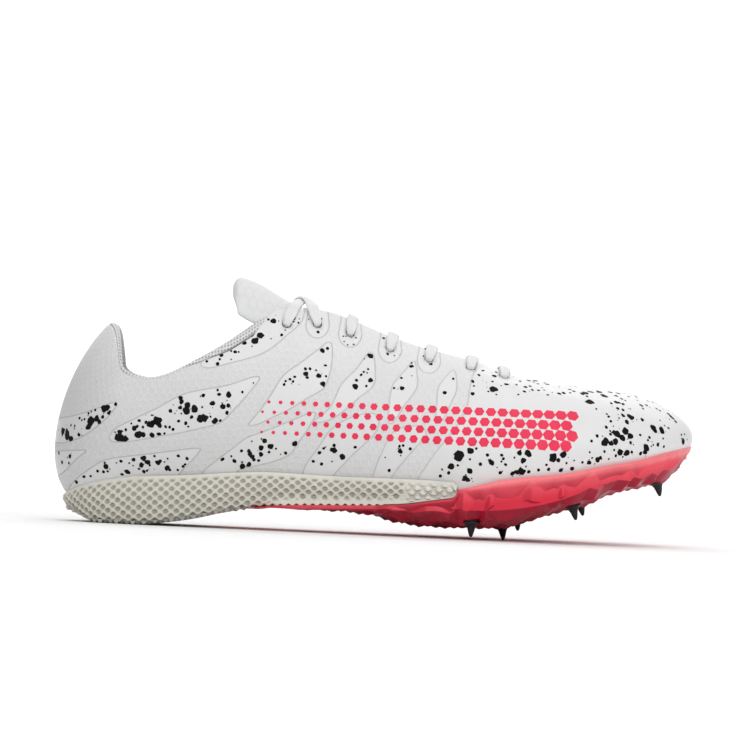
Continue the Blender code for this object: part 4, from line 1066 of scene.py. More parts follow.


# %% [markdown]
# ## The spatter print
# Black spatter is printed on the smooth film: big blots with finer drops around them. The big ones are
# charted from the outer side, as place and radius in millimetres. Each drop becomes a thin patch of
# print that lies on the shell. A drop's outline wobbles, and neighbours run together. Paint as geometry
# stays crisp at any size, where a mask on the shell's vertices would blur the small drops.
# %% Chart of the spatter: x, z and radius in millimetres
SPATTER = [
    (-25.2, 39.8, 1.9), (-23, 38, 2.1), (-21.3, 36.8, 1.5), (-23.4, 40.2, 1.1), (-12.4, 45.1, 2.1),
    (-13.3, 42.5, 1.3), (-9.7, 46.4, 1.4), (-8.4, 45.1, 1.1), (-6.6, 50.9, 1.5), (-5.2, 51.4, 1.3),
    (-7.1, 47.3, 0.8), (-4.6, 49, 0.8), (-4, 49.8, 0.6), (-1.6, 53.2, 0.8), (-17.5, 38.7, 0.9),
    (-21.5, 42.9, 0.7), (-19.7, 42.5, 0.6), (-17.6, 46.2, 0.7), (-16.6, 45.4, 0.5), (-15.2, 45.9, 0.6),
    (-13.6, 48.5, 0.6), (-12.4, 49.4, 0.5), (-10.6, 50.2, 0.6), (-26.6, 30, 0.9), (-21.3, 28.9, 0.9),
    (-21.6, 25.9, 0.7), (-24.9, 26, 1.0), (-17.9, 17.6, 1.1), (-14.5, 20.2, 0.8), (-11.4, 20.6, 0.7),
    (-8.4, 23, 0.7), (-5.6, 22.8, 0.7), (-3.8, 23.2, 0.7), (-4.6, 25.3, 1.2), (-5.2, 26.9, 0.6),
    (0, 27, 0.4), (1.9, 28.1, 0.7), (2.6, 22.1, 0.7), (5.1, 23.4, 1.3), (7.6, 28.9, 1.0), (5.7, 27.3, 0.4),
    (7.5, 26.2, 0.4), (10.1, 24.9, 0.6), (11.2, 26.6, 1.2), (11.9, 29.6, 1.3), (13.9, 28.1, 1.3),
    (15, 26.7, 0.6), (12.3, 23.8, 0.8), (13.7, 24.3, 0.6), (18.4, 28.1, 1.2), (19.4, 28.7, 0.9),
    (16.8, 31, 0.6), (22.7, 30.1, 0.5), (21.4, 28.5, 0.4), (22.6, 25.9, 1.2), (23.9, 25, 0.7),
    (27.5, 31.6, 0.8), (31.2, 30.4, 0.8), (27.5, 25.2, 0.6), (29.8, 26.9, 0.7), (30.6, 27.8, 0.6),
    (0.7, 38.4, 1.9), (3.7, 37.9, 1.4), (1.9, 37.8, 1.4), (1, 40.9, 1.1), (3.5, 42.1, 0.7),
    (5.9, 44.9, 0.5), (7.5, 42.9, 1.2), (8.5, 43.7, 0.8), (9.4, 46.4, 0.8), (11.1, 43.6, 0.6),
    (9.2, 40.1, 1.6), (11.4, 40.3, 1.1), (12.4, 45.7, 0.8), (14.4, 44.8, 1.6), (17.3, 46.6, 2.3),
    (18, 45.2, 1.6), (16, 46, 1.4), (15.5, 40.2, 1.1), (18.4, 40.8, 1.0), (20.9, 41.2, 0.6),
    (21.2, 44.2, 0.7), (23, 44.2, 0.7), (24.6, 43.2, 0.7), (23, 51.4, 0.9), (27, 46.9, 0.7),
    (27.3, 57.2, 1.1), (27.9, 55.5, 1.1), (27.3, 53.1, 1.0), (30.1, 51.9, 1.8), (30.6, 54.2, 1.4),
    (33.7, 52.6, 1.5), (32.5, 48.9, 0.8), (30.1, 46.1, 0.8), (31.3, 44.8, 0.5), (37.3, 48.7, 2.3),
    (33, 60, 0.8), (37.4, 58.9, 0.9), (37.1, 53.7, 0.5), (41, 49.6, 0.5), (41.6, 55.5, 1.2),
    (43.6, 61.6, 0.6), (44.4, 59.8, 0.8), (48.7, 59.8, 1.3), (43, 47.8, 1.4), (45.4, 48, 0.7),
    (46.4, 54.4, 1.2), (48.7, 54.9, 0.9), (48.2, 51.6, 0.8), (59.3, 65.3, 0.4), (54.6, 61.2, 0.6),
    (38.1, 74.1, 0.6), (43, 73.2, 0.9), (44.3, 77.1, 1.0), (43.9, 75.3, 0.6), (49.8, 80.6, 0.5),
    (48.7, 79.1, 0.5), (50.6, 78.9, 0.8), (52.1, 78.9, 0.5), (48.9, 75.4, 0.4), (54.4, 83, 1.0),
    (56.6, 85.3, 0.4), (59.1, 84.2, 1.6), (61.2, 86.6, 1.7), (56.4, 88.4, 1.2), (58.7, 89.4, 0.6),
    (66.2, 85.5, 0.4), (64.6, 94, 0.6), (66.9, 93.3, 1.2), (71.8, 91.4, 0.8), (72.5, 93.4, 1.2),
    (74.6, 92.6, 1.4), (75.7, 95.1, 1.1), (78, 93.1, 0.5), (81.4, 96.6, 1.7), (81.6, 92.8, 1.2),
    (81.2, 90.5, 0.6), (86.9, 89.4, 0.7), (70.9, 87.3, 0.7), (88.2, 95.4, 0.4), (100.6, 90.4, 1.0),
    (106.6, 86.4, 0.7), (103, 84.6, 0.5), (100.4, 84.2, 0.4), (103.9, 87.6, 0.5), (98.2, 88, 0.4),
    (116.2, 88, 0.7), (118.6, 83, 0.8), (118.4, 81, 0.7), (124.1, 82.4, 0.9), (121.4, 80.4, 0.4),
    (135.4, 84, 0.7), (136.1, 81.7, 0.6), (134.4, 80.8, 0.5), (137.9, 77.4, 0.8), (142.2, 80.3, 0.9),
    (89.4, 81.2, 1.1), (91.6, 82.3, 0.7), (90.9, 74.6, 0.7), (82.1, 72.8, 0.7), (84.1, 72.9, 0.7),
    (82.5, 70.6, 1.1), (83, 68.9, 0.7), (88.2, 69.9, 1.1), (86.9, 72.3, 0.5), (91.4, 69.8, 0.6),
    (90.2, 66.3, 1.2), (77.6, 68.9, 0.7), (75.5, 67.8, 0.6), (73.6, 66.8, 0.6), (73.1, 65.4, 0.7),
    (76.9, 66.8, 0.6), (77.6, 61.8, 1.0), (80.9, 61.4, 0.7), (77, 59.1, 0.5), (69, 59, 1.0),
    (110.6, 79.8, 1.3), (109.9, 73.9, 0.6), (108.1, 72.4, 0.6), (107, 71.2, 0.7), (109.6, 72.1, 0.4),
    (111.4, 68.9, 1.2), (105, 68.7, 0.8), (104.8, 65.7, 1.4), (109.5, 66.4, 0.6), (103.9, 62.8, 1.1),
    (103.4, 61.4, 1.1), (129.4, 76, 1.1), (129.3, 77.5, 0.5), (125, 70.6, 0.6), (121.9, 66, 0.6),
    (125.4, 66.1, 1.2), (125, 62.8, 1.9), (123.7, 61.3, 1.2), (129.6, 71.7, 0.3), (148.2, 71.2, 0.7),
    (144.5, 65, 0.9), (143, 60.8, 0.7), (161.3, 75.5, 0.9), (159.5, 73.4, 0.8), (166.4, 73.4, 1.1),
    (156.9, 70.5, 0.9), (157.5, 68.4, 0.5), (165.7, 70.8, 0.6), (166.2, 67.6, 1.9), (171.6, 69.9, 0.8),
    (176.4, 69.9, 0.6), (180.5, 69.1, 0.9), (182.6, 69.5, 0.8), (183.6, 67.9, 0.8), (180, 67.1, 0.7),
    (186.3, 67.9, 0.7), (188.9, 68.1, 0.5), (184.4, 64, 1.0), (177.3, 65.6, 0.6), (178.8, 63.6, 0.5),
    (179.1, 62.1, 0.4), (165.1, 64.4, 0.9), (163.9, 66.4, 0.5), (167.5, 65.1, 0.5), (172.1, 64.1, 0.8),
    (170.7, 62.2, 0.6), (167.4, 61.4, 0.4), (163.4, 59.5, 0.7), (157, 59.4, 1.4), (157, 65.1, 1.0),
    (157.6, 62.3, 0.7), (159.6, 62.6, 0.6), (158.6, 60.8, 0.5), (151.8, 37.4, 2.3), (148.6, 32.3, 1.5),
    (147.9, 29.5, 0.8), (151.6, 33.1, 0.6), (144.8, 31, 0.5), (144.2, 28, 0.7), (156.8, 39.6, 1.4),
    (156.9, 30.9, 1.2), (161.6, 34.1, 0.8), (156.8, 36, 0.5), (155, 27.4, 1.4), (156.4, 26.8, 1.2),
    (164.5, 38.1, 0.8), (159.5, 40.8, 0.6), (166.6, 34.9, 1.2), (165.8, 35.6, 0.9), (170.9, 38.5, 0.7),
    (171.6, 36.9, 0.7), (170.9, 35.6, 0.5), (172.7, 34.4, 0.7), (176.6, 37.6, 0.5), (170.6, 30.6, 0.9),
    (178.7, 39.9, 1.1), (182.5, 39.7, 1.6), (181.4, 41.1, 0.9), (180.5, 36.5, 1.2), (179.8, 31.7, 2.0),
    (178, 31, 1.3), (176, 30.6, 1.1), (183.2, 31.6, 0.8), (181.8, 34, 0.4), (187.7, 40.9, 1.2),
    (193.7, 38.4, 1.9), (196.1, 37.3, 0.9), (198.1, 39.7, 1.5), (198, 41.2, 0.9), (190.9, 35.1, 0.6),
    (192, 33.2, 0.8), (187.4, 32.6, 0.8), (197.4, 33, 0.9), (202.3, 34, 0.9), (199.8, 36.3, 0.6),
    (199.3, 43.1, 0.7), (201.6, 43, 0.6), (206.9, 36.8, 0.6), (209.8, 36.8, 1.2), (213.6, 38.3, 1.3),
    (214.8, 39.2, 0.8), (211.1, 39, 0.5), (210.7, 46.4, 0.7), (210, 41.5, 0.5), (213.1, 48.9, 0.8),
    (216.3, 66.6, 1.5), (215.4, 67, 1.1), (221.4, 67, 1.0), (221.4, 64.1, 1.2), (222.8, 64, 0.8),
    (219.1, 63.6, 0.7), (224.5, 63.6, 0.8), (225.5, 65.1, 0.5), (221.9, 61.5, 0.9), (224.5, 60.9, 0.8),
    (217.1, 58.8, 0.6), (217.9, 57.6, 0.7), (219.1, 55.6, 0.7), (224.5, 58.4, 1.1), (227.9, 57.9, 1.6),
    (226.3, 55.6, 1.1), (222.7, 57.2, 0.5), (217.1, 52.8, 0.8), (232.9, 63.1, 0.9), (233.7, 61.7, 0.6),
    (235.4, 63.4, 0.8), (233.2, 57, 1.0), (222.1, 50.1, 1.7), (220.8, 50.7, 1.1), (225.6, 51.5, 1.8),
    (224.3, 48.6, 1.4), (227.9, 49.5, 1.3), (218.9, 49.9, 0.7), (218.8, 51.3, 0.5), (232.5, 50.1, 0.6),
    (228.2, 46.4, 0.7), (216.8, 46.1, 1.9), (221.4, 46.7, 1.4), (219.3, 45.8, 1.1), (240.1, 62, 0.6),
    (241.6, 61.2, 0.7), (246.4, 59, 1.1), (245.4, 60, 1.0), (247.6, 58, 0.9), (248.8, 56.6, 0.9),
    (241.4, 56.9, 0.5), (243.6, 54.7, 0.5), (245.4, 53.6, 0.6), (238.4, 53.5, 1.4), (239.2, 52.4, 1.2),
    (242.3, 52.9, 1.3), (242.5, 51.9, 1.1), (236.6, 49.1, 0.7), (236.1, 47.8, 0.6), (242.9, 48.9, 0.5),
    (235.4, 44.4, 1.7), (235, 42.8, 1.4), (233, 42, 0.8), (238.6, 45.9, 0.5), (240.7, 46, 0.9),
    (243.6, 45.2, 0.7), (251.6, 50.8, 0.6), (253, 51.2, 0.6), (252.6, 47.9, 1.4), (223.6, 42.1, 1.5),
    (226.6, 41.9, 1.4), (228.9, 42.2, 0.7), (221.8, 40.4, 0.7), (220.9, 42.9, 0.6), (216.6, 42.1, 0.6),
    (218.6, 38.9, 0.5), (225, 40, 0.5), (75.9, 44.6, 1.2), (78.8, 46.2, 0.7), (76.1, 41.9, 2.1),
    (79.6, 41.6, 1.8), (78.8, 39.5, 1.2), (70.4, 40.5, 1.2), (66.8, 41.2, 1.6), (65.6, 40, 1.1),
    (67.9, 37.6, 1.3), (64.1, 36.6, 1.1), (64.3, 33.9, 1.1), (59.3, 33.7, 1.2), (61.1, 31.3, 0.8),
    (63.2, 31.2, 0.7), (67.7, 35, 0.6), (70.7, 36.6, 0.5), (75.1, 34.9, 0.7), (58.7, 35.1, 0.8),
    (60.5, 32.6, 1.0), (47, 30.9, 0.9), (52.5, 30.3, 1.0), (55.3, 35, 0.7), (51, 32.4, 0.5), (56, 30, 0.5),
    (56.2, 28, 1.4), (59, 29, 1.1), (97.7, 45.3, 1.1), (99.6, 43.7, 1.3), (102.1, 42.6, 1.2),
    (104.1, 44.6, 0.9), (105.4, 41.2, 0.7), (108.1, 43, 0.6), (108.4, 44.6, 0.5), (105.9, 38.9, 0.7),
    (101, 46, 0.6), (96.4, 39.3, 0.8), (96.6, 37.1, 1.4), (95.4, 37.4, 0.9), (93.9, 41.9, 0.4),
    (91.8, 37.8, 0.6), (90.2, 35.8, 0.9), (100.5, 34.4, 1.2), (95.9, 32.1, 0.4), (87.4, 31.8, 0.8),
    (91.3, 30.9, 0.7), (125.4, 40.3, 0.7), (127.1, 40.6, 0.6), (125.9, 38, 1.1), (126.2, 36.2, 0.4),
    (130.4, 39.4, 0.7), (121.4, 29.4, 0.8), (119.4, 35.1, 0.4), (170, 50, 0.7), (190.4, 66, 0.6),
    (195.6, 66.8, 0.9), (200.4, 67.4, 0.6), (206.2, 67.2, 1.1), (208, 66.2, 0.7), (210.8, 63.4, 0.8),
    (212.4, 60.8, 0.5),
]
print(len(SPATTER), "charted blots")


# %% Where the shell is
shell_skin = BVHTree.FromPolygons(
    [v.co[:] for v in shell.data.vertices], [tuple(p.vertices) for p in shell.data.polygons])


def on_shell(x, z, side):
    """The point and normal of the shell that a level line from the side meets, or nothing."""
    start = Vector((x, side * 0.12, z))
    point, normal, _, _ = shell_skin.ray_cast(start, Vector((0, -side, 0)), 0.2)
    if point is None or normal.y * side < 0.05:
        return None
    return np.array(point), np.array(normal)


BAND = {"from": 0.064, "to": 0.207, "low": 0.0438, "high": 0.0618}  # the dotted band, free of spatter
BAND_CLEAR = 0.0024  # what also stays free above and below it


def in_band(x, z, margin):
    along = BAND["from"] - margin < x < BAND["to"] + margin
    return along and BAND["low"] - margin - BAND_CLEAR < z < BAND["high"] + margin + BAND_CLEAR


# %% Collect the drops of both sides and of the top
TOE_TRIES = 900


def spatter_drops():
    """Middle, normal and radius of every drop: the chart, fine spray round it, and loose drops on the top."""
    chance = np.random.default_rng(20)
    wanted = [(x * MM, z * MM, r * MM, OUTER) for x, z, r in SPATTER]
    wanted += [(x * MM + 0.003 * math.sin(z), z * MM, r * MM * 0.95, INNER) for x, z, r in SPATTER]
    for x, z, r, side in list(wanted):
        for _ in range(int(chance.integers(0, 3)) if r > 0.0009 else 0):
            way, far = chance.uniform(0, 2 * math.pi), r + chance.exponential(0.0022)
            fine = chance.uniform(0.00018, 0.00042)
            wanted.append((x + far * math.cos(way), z + far * math.sin(way), fine, side))
    drops = []
    for x, z, r, side in wanted:
        found = on_shell(x, z, side)
        if found and not in_band(x, z, 0.8 * r):
            drops.append((*found, r))
    for _ in range(TOE_TRIES):  # the toe box seen from above
        x, y = chance.uniform(0.165, 0.25), chance.uniform(-0.045, 0.045)
        point, normal, _, _ = shell_skin.ray_cast(Vector((x, y, 0.15)), Vector((0, 0, -1)), 0.2)
        if point is None or normal.z < 0.80:
            continue
        cluster = math.sin(x * 310 + 2 * math.sin(y * 190)) * math.sin(y * 260 + 1.3 * math.sin(x * 170))
        if chance.uniform(0, 1) < 0.16 + 0.5 * max(cluster, 0):
            r = 0.00025 + chance.exponential(0.00042) + 0.0006 * max(cluster - 0.5, 0)
            drops.append((np.array(point), np.array(normal), min(r, 0.0019)))
    middles = np.array([d[0] for d in drops])
    edge = window_distance(middles) * MM
    return [d for d, e in zip(drops, edge) if e > 0.55 * d[2]]


drops = spatter_drops()
print(len(drops), "drops on film")

# %% [markdown]
# A Geometry Nodes tree puts a small disc on each drop's place, turned to the shell and scaled to the drop.
# Noise moves its outline in and out. Then every vertex is set down on the nearest face of the shell, 0.06
# mm above it, so that the patch bends with the shoe.
# %% A tree that prints patches on the shell
PRINT_LIFT = 0.00006
WOBBLE_SCALE = 520.0


def make_print_tree(material, corners, rings):
    """Discs on points, wobbled and laid on the shell. The shell, the wobble and the lift are its inputs."""
    tree, t, source, drain = nodes_tree("print_on_shell", [
        ("Shell", "NodeSocketObject", None), ("Wobble", "NodeSocketFloat", 1.0),
        ("Lift", "NodeSocketFloat", PRINT_LIFT)])
    disc = t.node("GeometryNodeMeshCircle", {"Vertices": corners, "Radius": 1.0}, fill_type="TRIANGLE_FAN")
    fine = t.node("GeometryNodeSubdivideMesh", {"Mesh": disc, "Level": rings})
    size = stored(t, "radius", "FLOAT")
    discs = spread(t, source, fine, size)
    noise = {"Vector": t.node("GeometryNodeInputPosition"), "Scale": WOBBLE_SCALE, "Detail": 0.0}
    push = t.vector("SUBTRACT", t.node("ShaderNodeTexNoise", noise, out="Color"), (0.5, 0.5, 0.5))
    push = t.scaled(push, t.math("MULTIPLY", source["Wobble"], size))
    moved = t.node("GeometryNodeSetPosition", {"Geometry": discs, "Offset": push})
    body = t.node("GeometryNodeObjectInfo", {"Object": source["Shell"]}, out="Geometry")
    near = t.node("GeometryNodeProximity", body, target_element="FACES", out="Position")
    rise = t.scaled(stored(t, "facing", "FLOAT_VECTOR"), source["Lift"])
    laid = t.node("GeometryNodeSetPosition", {"Geometry": moved, "Position": near, "Offset": rise})
    painted(t, drain, laid, material)
    return tree


# %% Print the spatter
def print_finish(name, colour, roughness, specular, cloudy, first, second):
    """The finish of a print: two near colours in clouds, under a very fine grain."""
    made, t, shader = finish(name, colour, roughness, Specular_IOR_Level=specular)
    grain, clouds = t.grain(2600.0)
    t.join(shader.inputs["Base Color"], t.mix(t.ramp(clouds, cloudy, 0.8), first, second))
    bump(t, shader, grain, 0.00005, 0.4)
    return made


def print_on_shell(label, drops, material, corners, rings, wobble):
    """One mesh of patches on the shell, for drops with a middle, a normal and a radius."""
    middles, ways, sizes = (np.array(part) for part in zip(*drops))
    points = middles, {"facing": ("FLOAT_VECTOR", ways), "radius": ("FLOAT", sizes)}
    values = {"Shell": shell, "Wobble": wobble, "Lift": PRINT_LIFT}
    return run_tree(label, points, make_print_tree(material, corners, rings), values, material)


PRINTS = [  # name, least and largest radius, corners and rings of a disc
    ("spatter_blots", 0.0010, 1.0, 16, 1), ("spatter_spots", 0.00055, 0.0010, 10, 1),
    ("spatter_drops", 0.0, 0.00055, 8, 0),
]
ink_finish = print_finish("black_print", (0.004, 0.004, 0.004), 0.6, 0.12, 0.4, grey(0.003), grey(0.008))
spatter = []
for label, least, most, corners, rings in PRINTS:
    group = [d for d in drops if least < d[2] <= most]
    spatter.append(print_on_shell(label, group, ink_finish, corners, rings, 1.0))
    print(label, len(group), "drops,", triangles(spatter[-1]), "triangles")

# %% [markdown]
# ## The dotted band
# A straight band of coral hexagons runs along each side as a plain decoration. It is a halftone: the rows
# are even, and the hexagons grow from small dots at the heel end until they almost touch towards the toe.
# The same tree prints them, with six corners and no wobble.
# %% Print the band
BAND_PITCH = 0.0052
DOT_LEAST, DOT_GROWTH = 0.13, 0.435  # radius of a hexagon at the heel end, and how much it grows, in pitches


def band_cells():
    cells = []
    step = BAND_PITCH * math.sqrt(3) / 2
    rows = int((BAND["high"] - BAND["low"]) / step)
    for side in (OUTER, INNER):
        for row in range(rows + 1):
            count = int((BAND["to"] - BAND["from"]) / BAND_PITCH)
            for column in range(count):
                x = BAND["from"] + (column + 0.5 * (row % 2)) * BAND_PITCH
                found = on_shell(x, BAND["low"] + row * step, side)
                if found:
                    grown = np.clip((x - BAND["from"]) / (BAND["to"] - BAND["from"]), 0, 1) ** 0.75
                    cells.append((*found, BAND_PITCH * (DOT_LEAST + DOT_GROWTH * grown)))
    return cells


band_finish = print_finish(
    "coral_print", (0.88, 0.035, 0.10), 0.5, 0.3, 0.35, (0.90, 0.04, 0.105, 1), (0.78, 0.02, 0.08, 1))
cells = band_cells()
band = print_on_shell("dotted_band", cells, band_finish, 6, 1, 0.0)
print("band:", len(cells), "hexagons,", triangles(band), "triangles")

# %% [markdown]
# ## The lining and the padded collar
# Inside the shell runs a knitted lining. At the collar it is padded: it rolls over the edge, shows as a
# band of knit two to seven millimetres high above the shell, and swells inwards before it thins out towards
# the foot. It is one sheet of the same columns, with a profile of lengths and depths below the top line.
# %% Profile of the lining
LINING_COLUMNS = 190
COLLAR_ROLL = [  # length below the top line and depth under the shell's face in millimetres, from the outside
    (7.0, 1.9), (5.0, 1.2), (3.6, 0.75), (2.4, 0.30), (1.5, 0.18), (0.8, 0.50), (0.25, 1.15), (0.0, 2.0),
    (0.25, 2.9), (0.9, 3.6), (2.2, 4.2), (4.5, 4.8), (8.0, 5.2), (12.0, 5.1), (16.0, 4.4), (21.0, 3.2),
    (27.0, 2.2),
]
WALL_ROLL = [  # the same for the throat, where the lining only backs the shell
    (7.0, 1.9), (6.6, 1.8), (6.2, 1.75), (5.8, 1.7), (5.4, 1.7), (5.0, 1.7), (4.6, 1.7), (4.2, 1.7),
    (3.8, 1.7), (3.4, 1.7), (3.0, 1.75), (2.6, 1.8), (2.9, 2.1), (6.0, 2.2), (11.0, 2.2), (17.0, 2.2),
    (24.0, 2.2),
]
LINING_LOW_ROWS = 16
ROLL_FRONT = 7  # rows of the collar roll in front of its top
ROLL_SHOW = 3.6  # height of lining that those rows are drawn for, in millimetres
ROLL_END, ROLL_FADE = 0.398, 0.012  # the turn where the collar's padding ends, and over how much it fades


def lining_side(side, turns):
    """Columns of the lining on one side, from the shell's inside over the top and down to the insole."""
    share = soft(np.clip((ROLL_END - turns) / ROLL_FADE, 0, 1)[:, None])
    show = collar_show(turns)[:, None]
    scale = np.where(np.arange(len(COLLAR_ROLL)) < ROLL_FRONT, show / ROLL_SHOW / MM, 1.0)
    collar, wall = np.array(COLLAR_ROLL), np.array(WALL_ROLL)
    lengths = share * scale * collar[:, 0]
    lengths = lengths + (1 - share) * wall[:, 0]
    depths = share * collar[:, 1] + (1 - share) * wall[:, 1]
    closed = (turns >= THROAT_TURN)[:, None]
    lengths = np.where(closed, lengths - lengths.min(), lengths) * MM
    depths = np.where(closed, WALL_ROLL[0][1], depths) * MM
    rises = end_rise(side, turns, lengths, np.linspace(0, 1, 200))
    last = rises[:, -1:]
    low = last * (1 - np.linspace(0, 1, LINING_LOW_ROWS + 1)[None, 1:])
    rises = np.concatenate([rises, low], 1)
    depths = np.concatenate([depths, np.broadcast_to(depths[:, -1:], low.shape)], 1)
    points, normals = side_grid(side, turns, rises)
    points = points - normals * depths[..., None]
    foot = points[:, -1:].copy()
    foot[..., 2] = bed_height(foot[..., 0]) + 0.0012
    # roll: how far down the roll's front each row lies, as a share of the knit that shows; the finish reads
    # it for the painted shadow at the shell's edge.
    roll = np.zeros(points.shape[:2])
    roll[:, :ROLL_FRONT] = share * (lengths[:, :ROLL_FRONT] / show)
    return np.concatenate([points, foot], 1), np.concatenate([roll, roll[:, -1:]], 1)


# %% Build the lining
def build_lining():
    turns = column_turns(LINING_COLUMNS)
    outer, outer_roll = lining_side(OUTER, turns)
    inner, inner_roll = lining_side(INNER, turns)
    points = ring_of(outer, inner)
    made = mesh_object("upper_lining", points, grid_faces(points, ring=True))
    lengths = ring_of(shell_lengths(outer), shell_lengths(inner))
    store(made.data, "weave_place", lengths, "FLOAT_VECTOR")
    store(made.data, "roll", ring_of(outer_roll, inner_roll).ravel())
    return made


lining = build_lining()
print("lining:", triangles(lining), "triangles")

# %% Finish of the lining
lining_finish, t, shader = finish("knit_lining", (0.74, 0.745, 0.75), 0.85, Sheen_Weight=0.25)
knit = t.weave(WEAVE, 0.0016)
_, clouds = t.grain(3200.0)
colour = t.mix(t.ramp(knit, 0.05, 0.50), (0.30, 0.30, 0.305, 1), (0.80, 0.80, 0.805, 1))
# Painted shadow: the knit is painted near-black at the foot of the roll's front, in the gap where it meets
# the shell's edge.
colour = t.mix(t.ramp(t.attribute("roll"), 0.62, 0.95), colour, grey(0.10))
t.join(shader.inputs["Base Color"], t.mix(t.ramp(clouds, 0.4, 0.8, 0.0, 0.2), colour, (0.66, 0.66, 0.67, 1)))
bump(t, shader, knit, 0.00045, 0.9)
lining.data.materials.append(lining_finish)

# %% [markdown]
# ## The tongue
# A padded tongue of mesh lies under the laces and stands up above the collar. It is a closed cushion: a top
# face and a bottom face on one grid, thicker towards its end and thin at its edges, with a sewn binding
# round it.
# %% Shape of the tongue
TONGUE = [  # station, half, middle height, fall at the edge
    (0.263, 0.080, 1.088, 0.030), (0.268, 0.150, 1.118, 0.100), (0.280, 0.195, 1.134, 0.165),
    (0.300, 0.212, 1.118, 0.180), (0.345, 0.200, 1.050, 0.125), (0.375, 0.188, 1.012, 0.110),
    (0.402, 0.178, 0.992, 0.100), (0.454, 0.165, 0.945, 0.095), (0.519, 0.160, 0.883, 0.090),
    (0.582, 0.155, 0.830, 0.080), (0.646, 0.145, 0.788, 0.070), (0.700, 0.130, 0.748, 0.055),
    (0.728, 0.110, 0.722, 0.040), (0.766, 0.120, 0.694, 0.035),
]
UNDER_SHELL = 0.0029  # how far below the shell's face the tongue lies beside the throat
TONGUE_TUCK = 0.0065  # how far it reaches under the eyelet rows
TONGUE_ROUND = 0.0022  # width of its rounded edge
_tongue_half, _tongue_mid, _tongue_fall = columns_of(TONGUE, 1, 2, 3)
TONGUE_LONG, TONGUE_WIDE = 150, 44


def tongue_face(station, share):
    half = _tongue_half(station) * BALL_WIDTH
    height = (_tongue_mid(station) - _tongue_fall(station) * share**2) * INSTEP_HEIGHT
    return np.stack([place(station), share * half, height], -1)


# %% Tuck the tongue under the shell
def plain_skin():
    """The upper's outer face without holes, to look up heights from above."""
    turns, rises = np.linspace(0.2, 0.86, 150), np.linspace(0.45, 1, 50)
    points, faces = [], []
    for side in (OUTER, INNER):
        grid = upper_grid(side, turns[:, None], rises[None, :])
        faces += [tuple(len(points) + v for v in (a, d, c, b)) for a, b, c, d in grid_faces(grid)]
        points += grid.reshape(-1, 3).tolist()
    return BVHTree.FromPolygons(points, faces)


def tuck_under(top, share):
    """Beside the throat the tongue follows the shell from below; between the eyelets it is nearly flat."""
    skin = plain_skin()
    turns = np.linspace(0.2, THROAT_TURN, 500)
    edges = top_edge(INNER, turns)
    result = top.copy()
    for i, row in enumerate(top):
        x = row[0, 0]
        blend = soft(np.clip((x - 0.062) / 0.016, 0, 1))
        edge = float(np.interp(x, edges[:, 0], edges[:, 1], right=0.0))
        half = (1 - blend) * row[-1, 1] + blend * max(edge + TONGUE_TUCK, row[-1, 1] * 0.9)

        def below(y):
            point, normal, _, _ = skin.ray_cast(Vector((x, y, 0.15)), Vector((0, 0, -1)), 0.2)
            return point.z - UNDER_SHELL / max(abs(normal.z), 0.45) if point else None

        middle = row[len(row) // 2, 2]
        seam = below(edge + 0.0006) or middle
        for j, part in enumerate(share):
            y = part * half
            deep = below(y) if abs(y) > edge else None
            if deep is None:
                deep = middle + (seam - middle) * min(abs(y) / max(edge, 1e-6), 1) ** 2.5
            if x > 0.150:
                deep = min(deep, middle)
            result[i, j, 1] = y
            result[i, j, 2] = (1 - blend) * row[j, 2] + blend * deep
    return result


# %% Build the tongue
def build_tongue():
    stations = TONGUE[0][0] + (TONGUE[-1][0] - TONGUE[0][0]) * np.linspace(0, 1, TONGUE_LONG + 1) ** 1.35
    shares = np.sin(np.linspace(-math.pi / 2, math.pi / 2, TONGUE_WIDE + 1))
    top = tuck_under(tongue_face(*np.meshgrid(stations, shares, indexing="ij")), shares)
    normal = unit(np.cross(np.gradient(top, axis=0), np.gradient(top, axis=1)))
    normal *= np.sign(normal[..., 2:].mean())
    run = walked(top[:, TONGUE_WIDE // 2])
    ends = np.minimum(run, run[-1] - run)[:, None]
    rim = np.minimum((1 - np.abs(shares))[None, :] * _tongue_half(stations)[:, None] * BALL_WIDTH, ends)
    near = np.clip(rim / TONGUE_ROUND, 0, 1)
    round_edge = np.sqrt(1 - (1 - near) ** 2)
    thick = TONGUE_THICKNESS * (1.0 + 0.25 * np.clip((0.34 - stations) / 0.03, 0, 1))[:, None] * round_edge
    upper_face = top - normal * (TONGUE_THICKNESS * 0.5 * (1 - round_edge))[..., None]
    lower_face = upper_face - normal * np.maximum(thick, 0.00005)[..., None]
    points = np.concatenate([upper_face.reshape(-1, 3), lower_face.reshape(-1, 3)])
    wide = TONGUE_WIDE + 1
    count = (TONGUE_LONG + 1) * wide
    faces = []
    for i in range(TONGUE_LONG):
        for j in range(TONGUE_WIDE):
            a, b, c, d = i * wide + j, (i + 1) * wide + j, (i + 1) * wide + j + 1, i * wide + j + 1
            faces += [(a, b, c, d), (a + count, d + count, c + count, b + count)]
    border = [(i * wide, (i + 1) * wide) for i in range(TONGUE_LONG)]
    border += [(TONGUE_LONG * wide + j, TONGUE_LONG * wide + j + 1) for j in range(TONGUE_WIDE)]
    border += [((i + 1) * wide + TONGUE_WIDE, i * wide + TONGUE_WIDE) for i in range(TONGUE_LONG - 1, -1, -1)]
    border += [(j + 1, j) for j in range(TONGUE_WIDE - 1, -1, -1)]
    faces += [(b, a, a + count, b + count) for a, b in border]
    made = mesh_object("tongue_pad", points, faces)
    across = np.concatenate([top[..., 1].reshape(-1)] * 2)
    along = np.concatenate([np.broadcast_to(run[:, None], top.shape[:2]).reshape(-1)] * 2)
    store(made.data, "weave_place", np.stack([along, across, 0 * along], -1), "FLOAT_VECTOR")
    store(made.data, "edge_place", np.concatenate([rim.reshape(-1)] * 2))
    with editing(made) as shape:
        bmesh.ops.recalc_face_normals(shape, faces=shape.faces)
    made.data.shade_smooth()
    return made


tongue = build_tongue()
print("tongue:", triangles(tongue), "triangles")

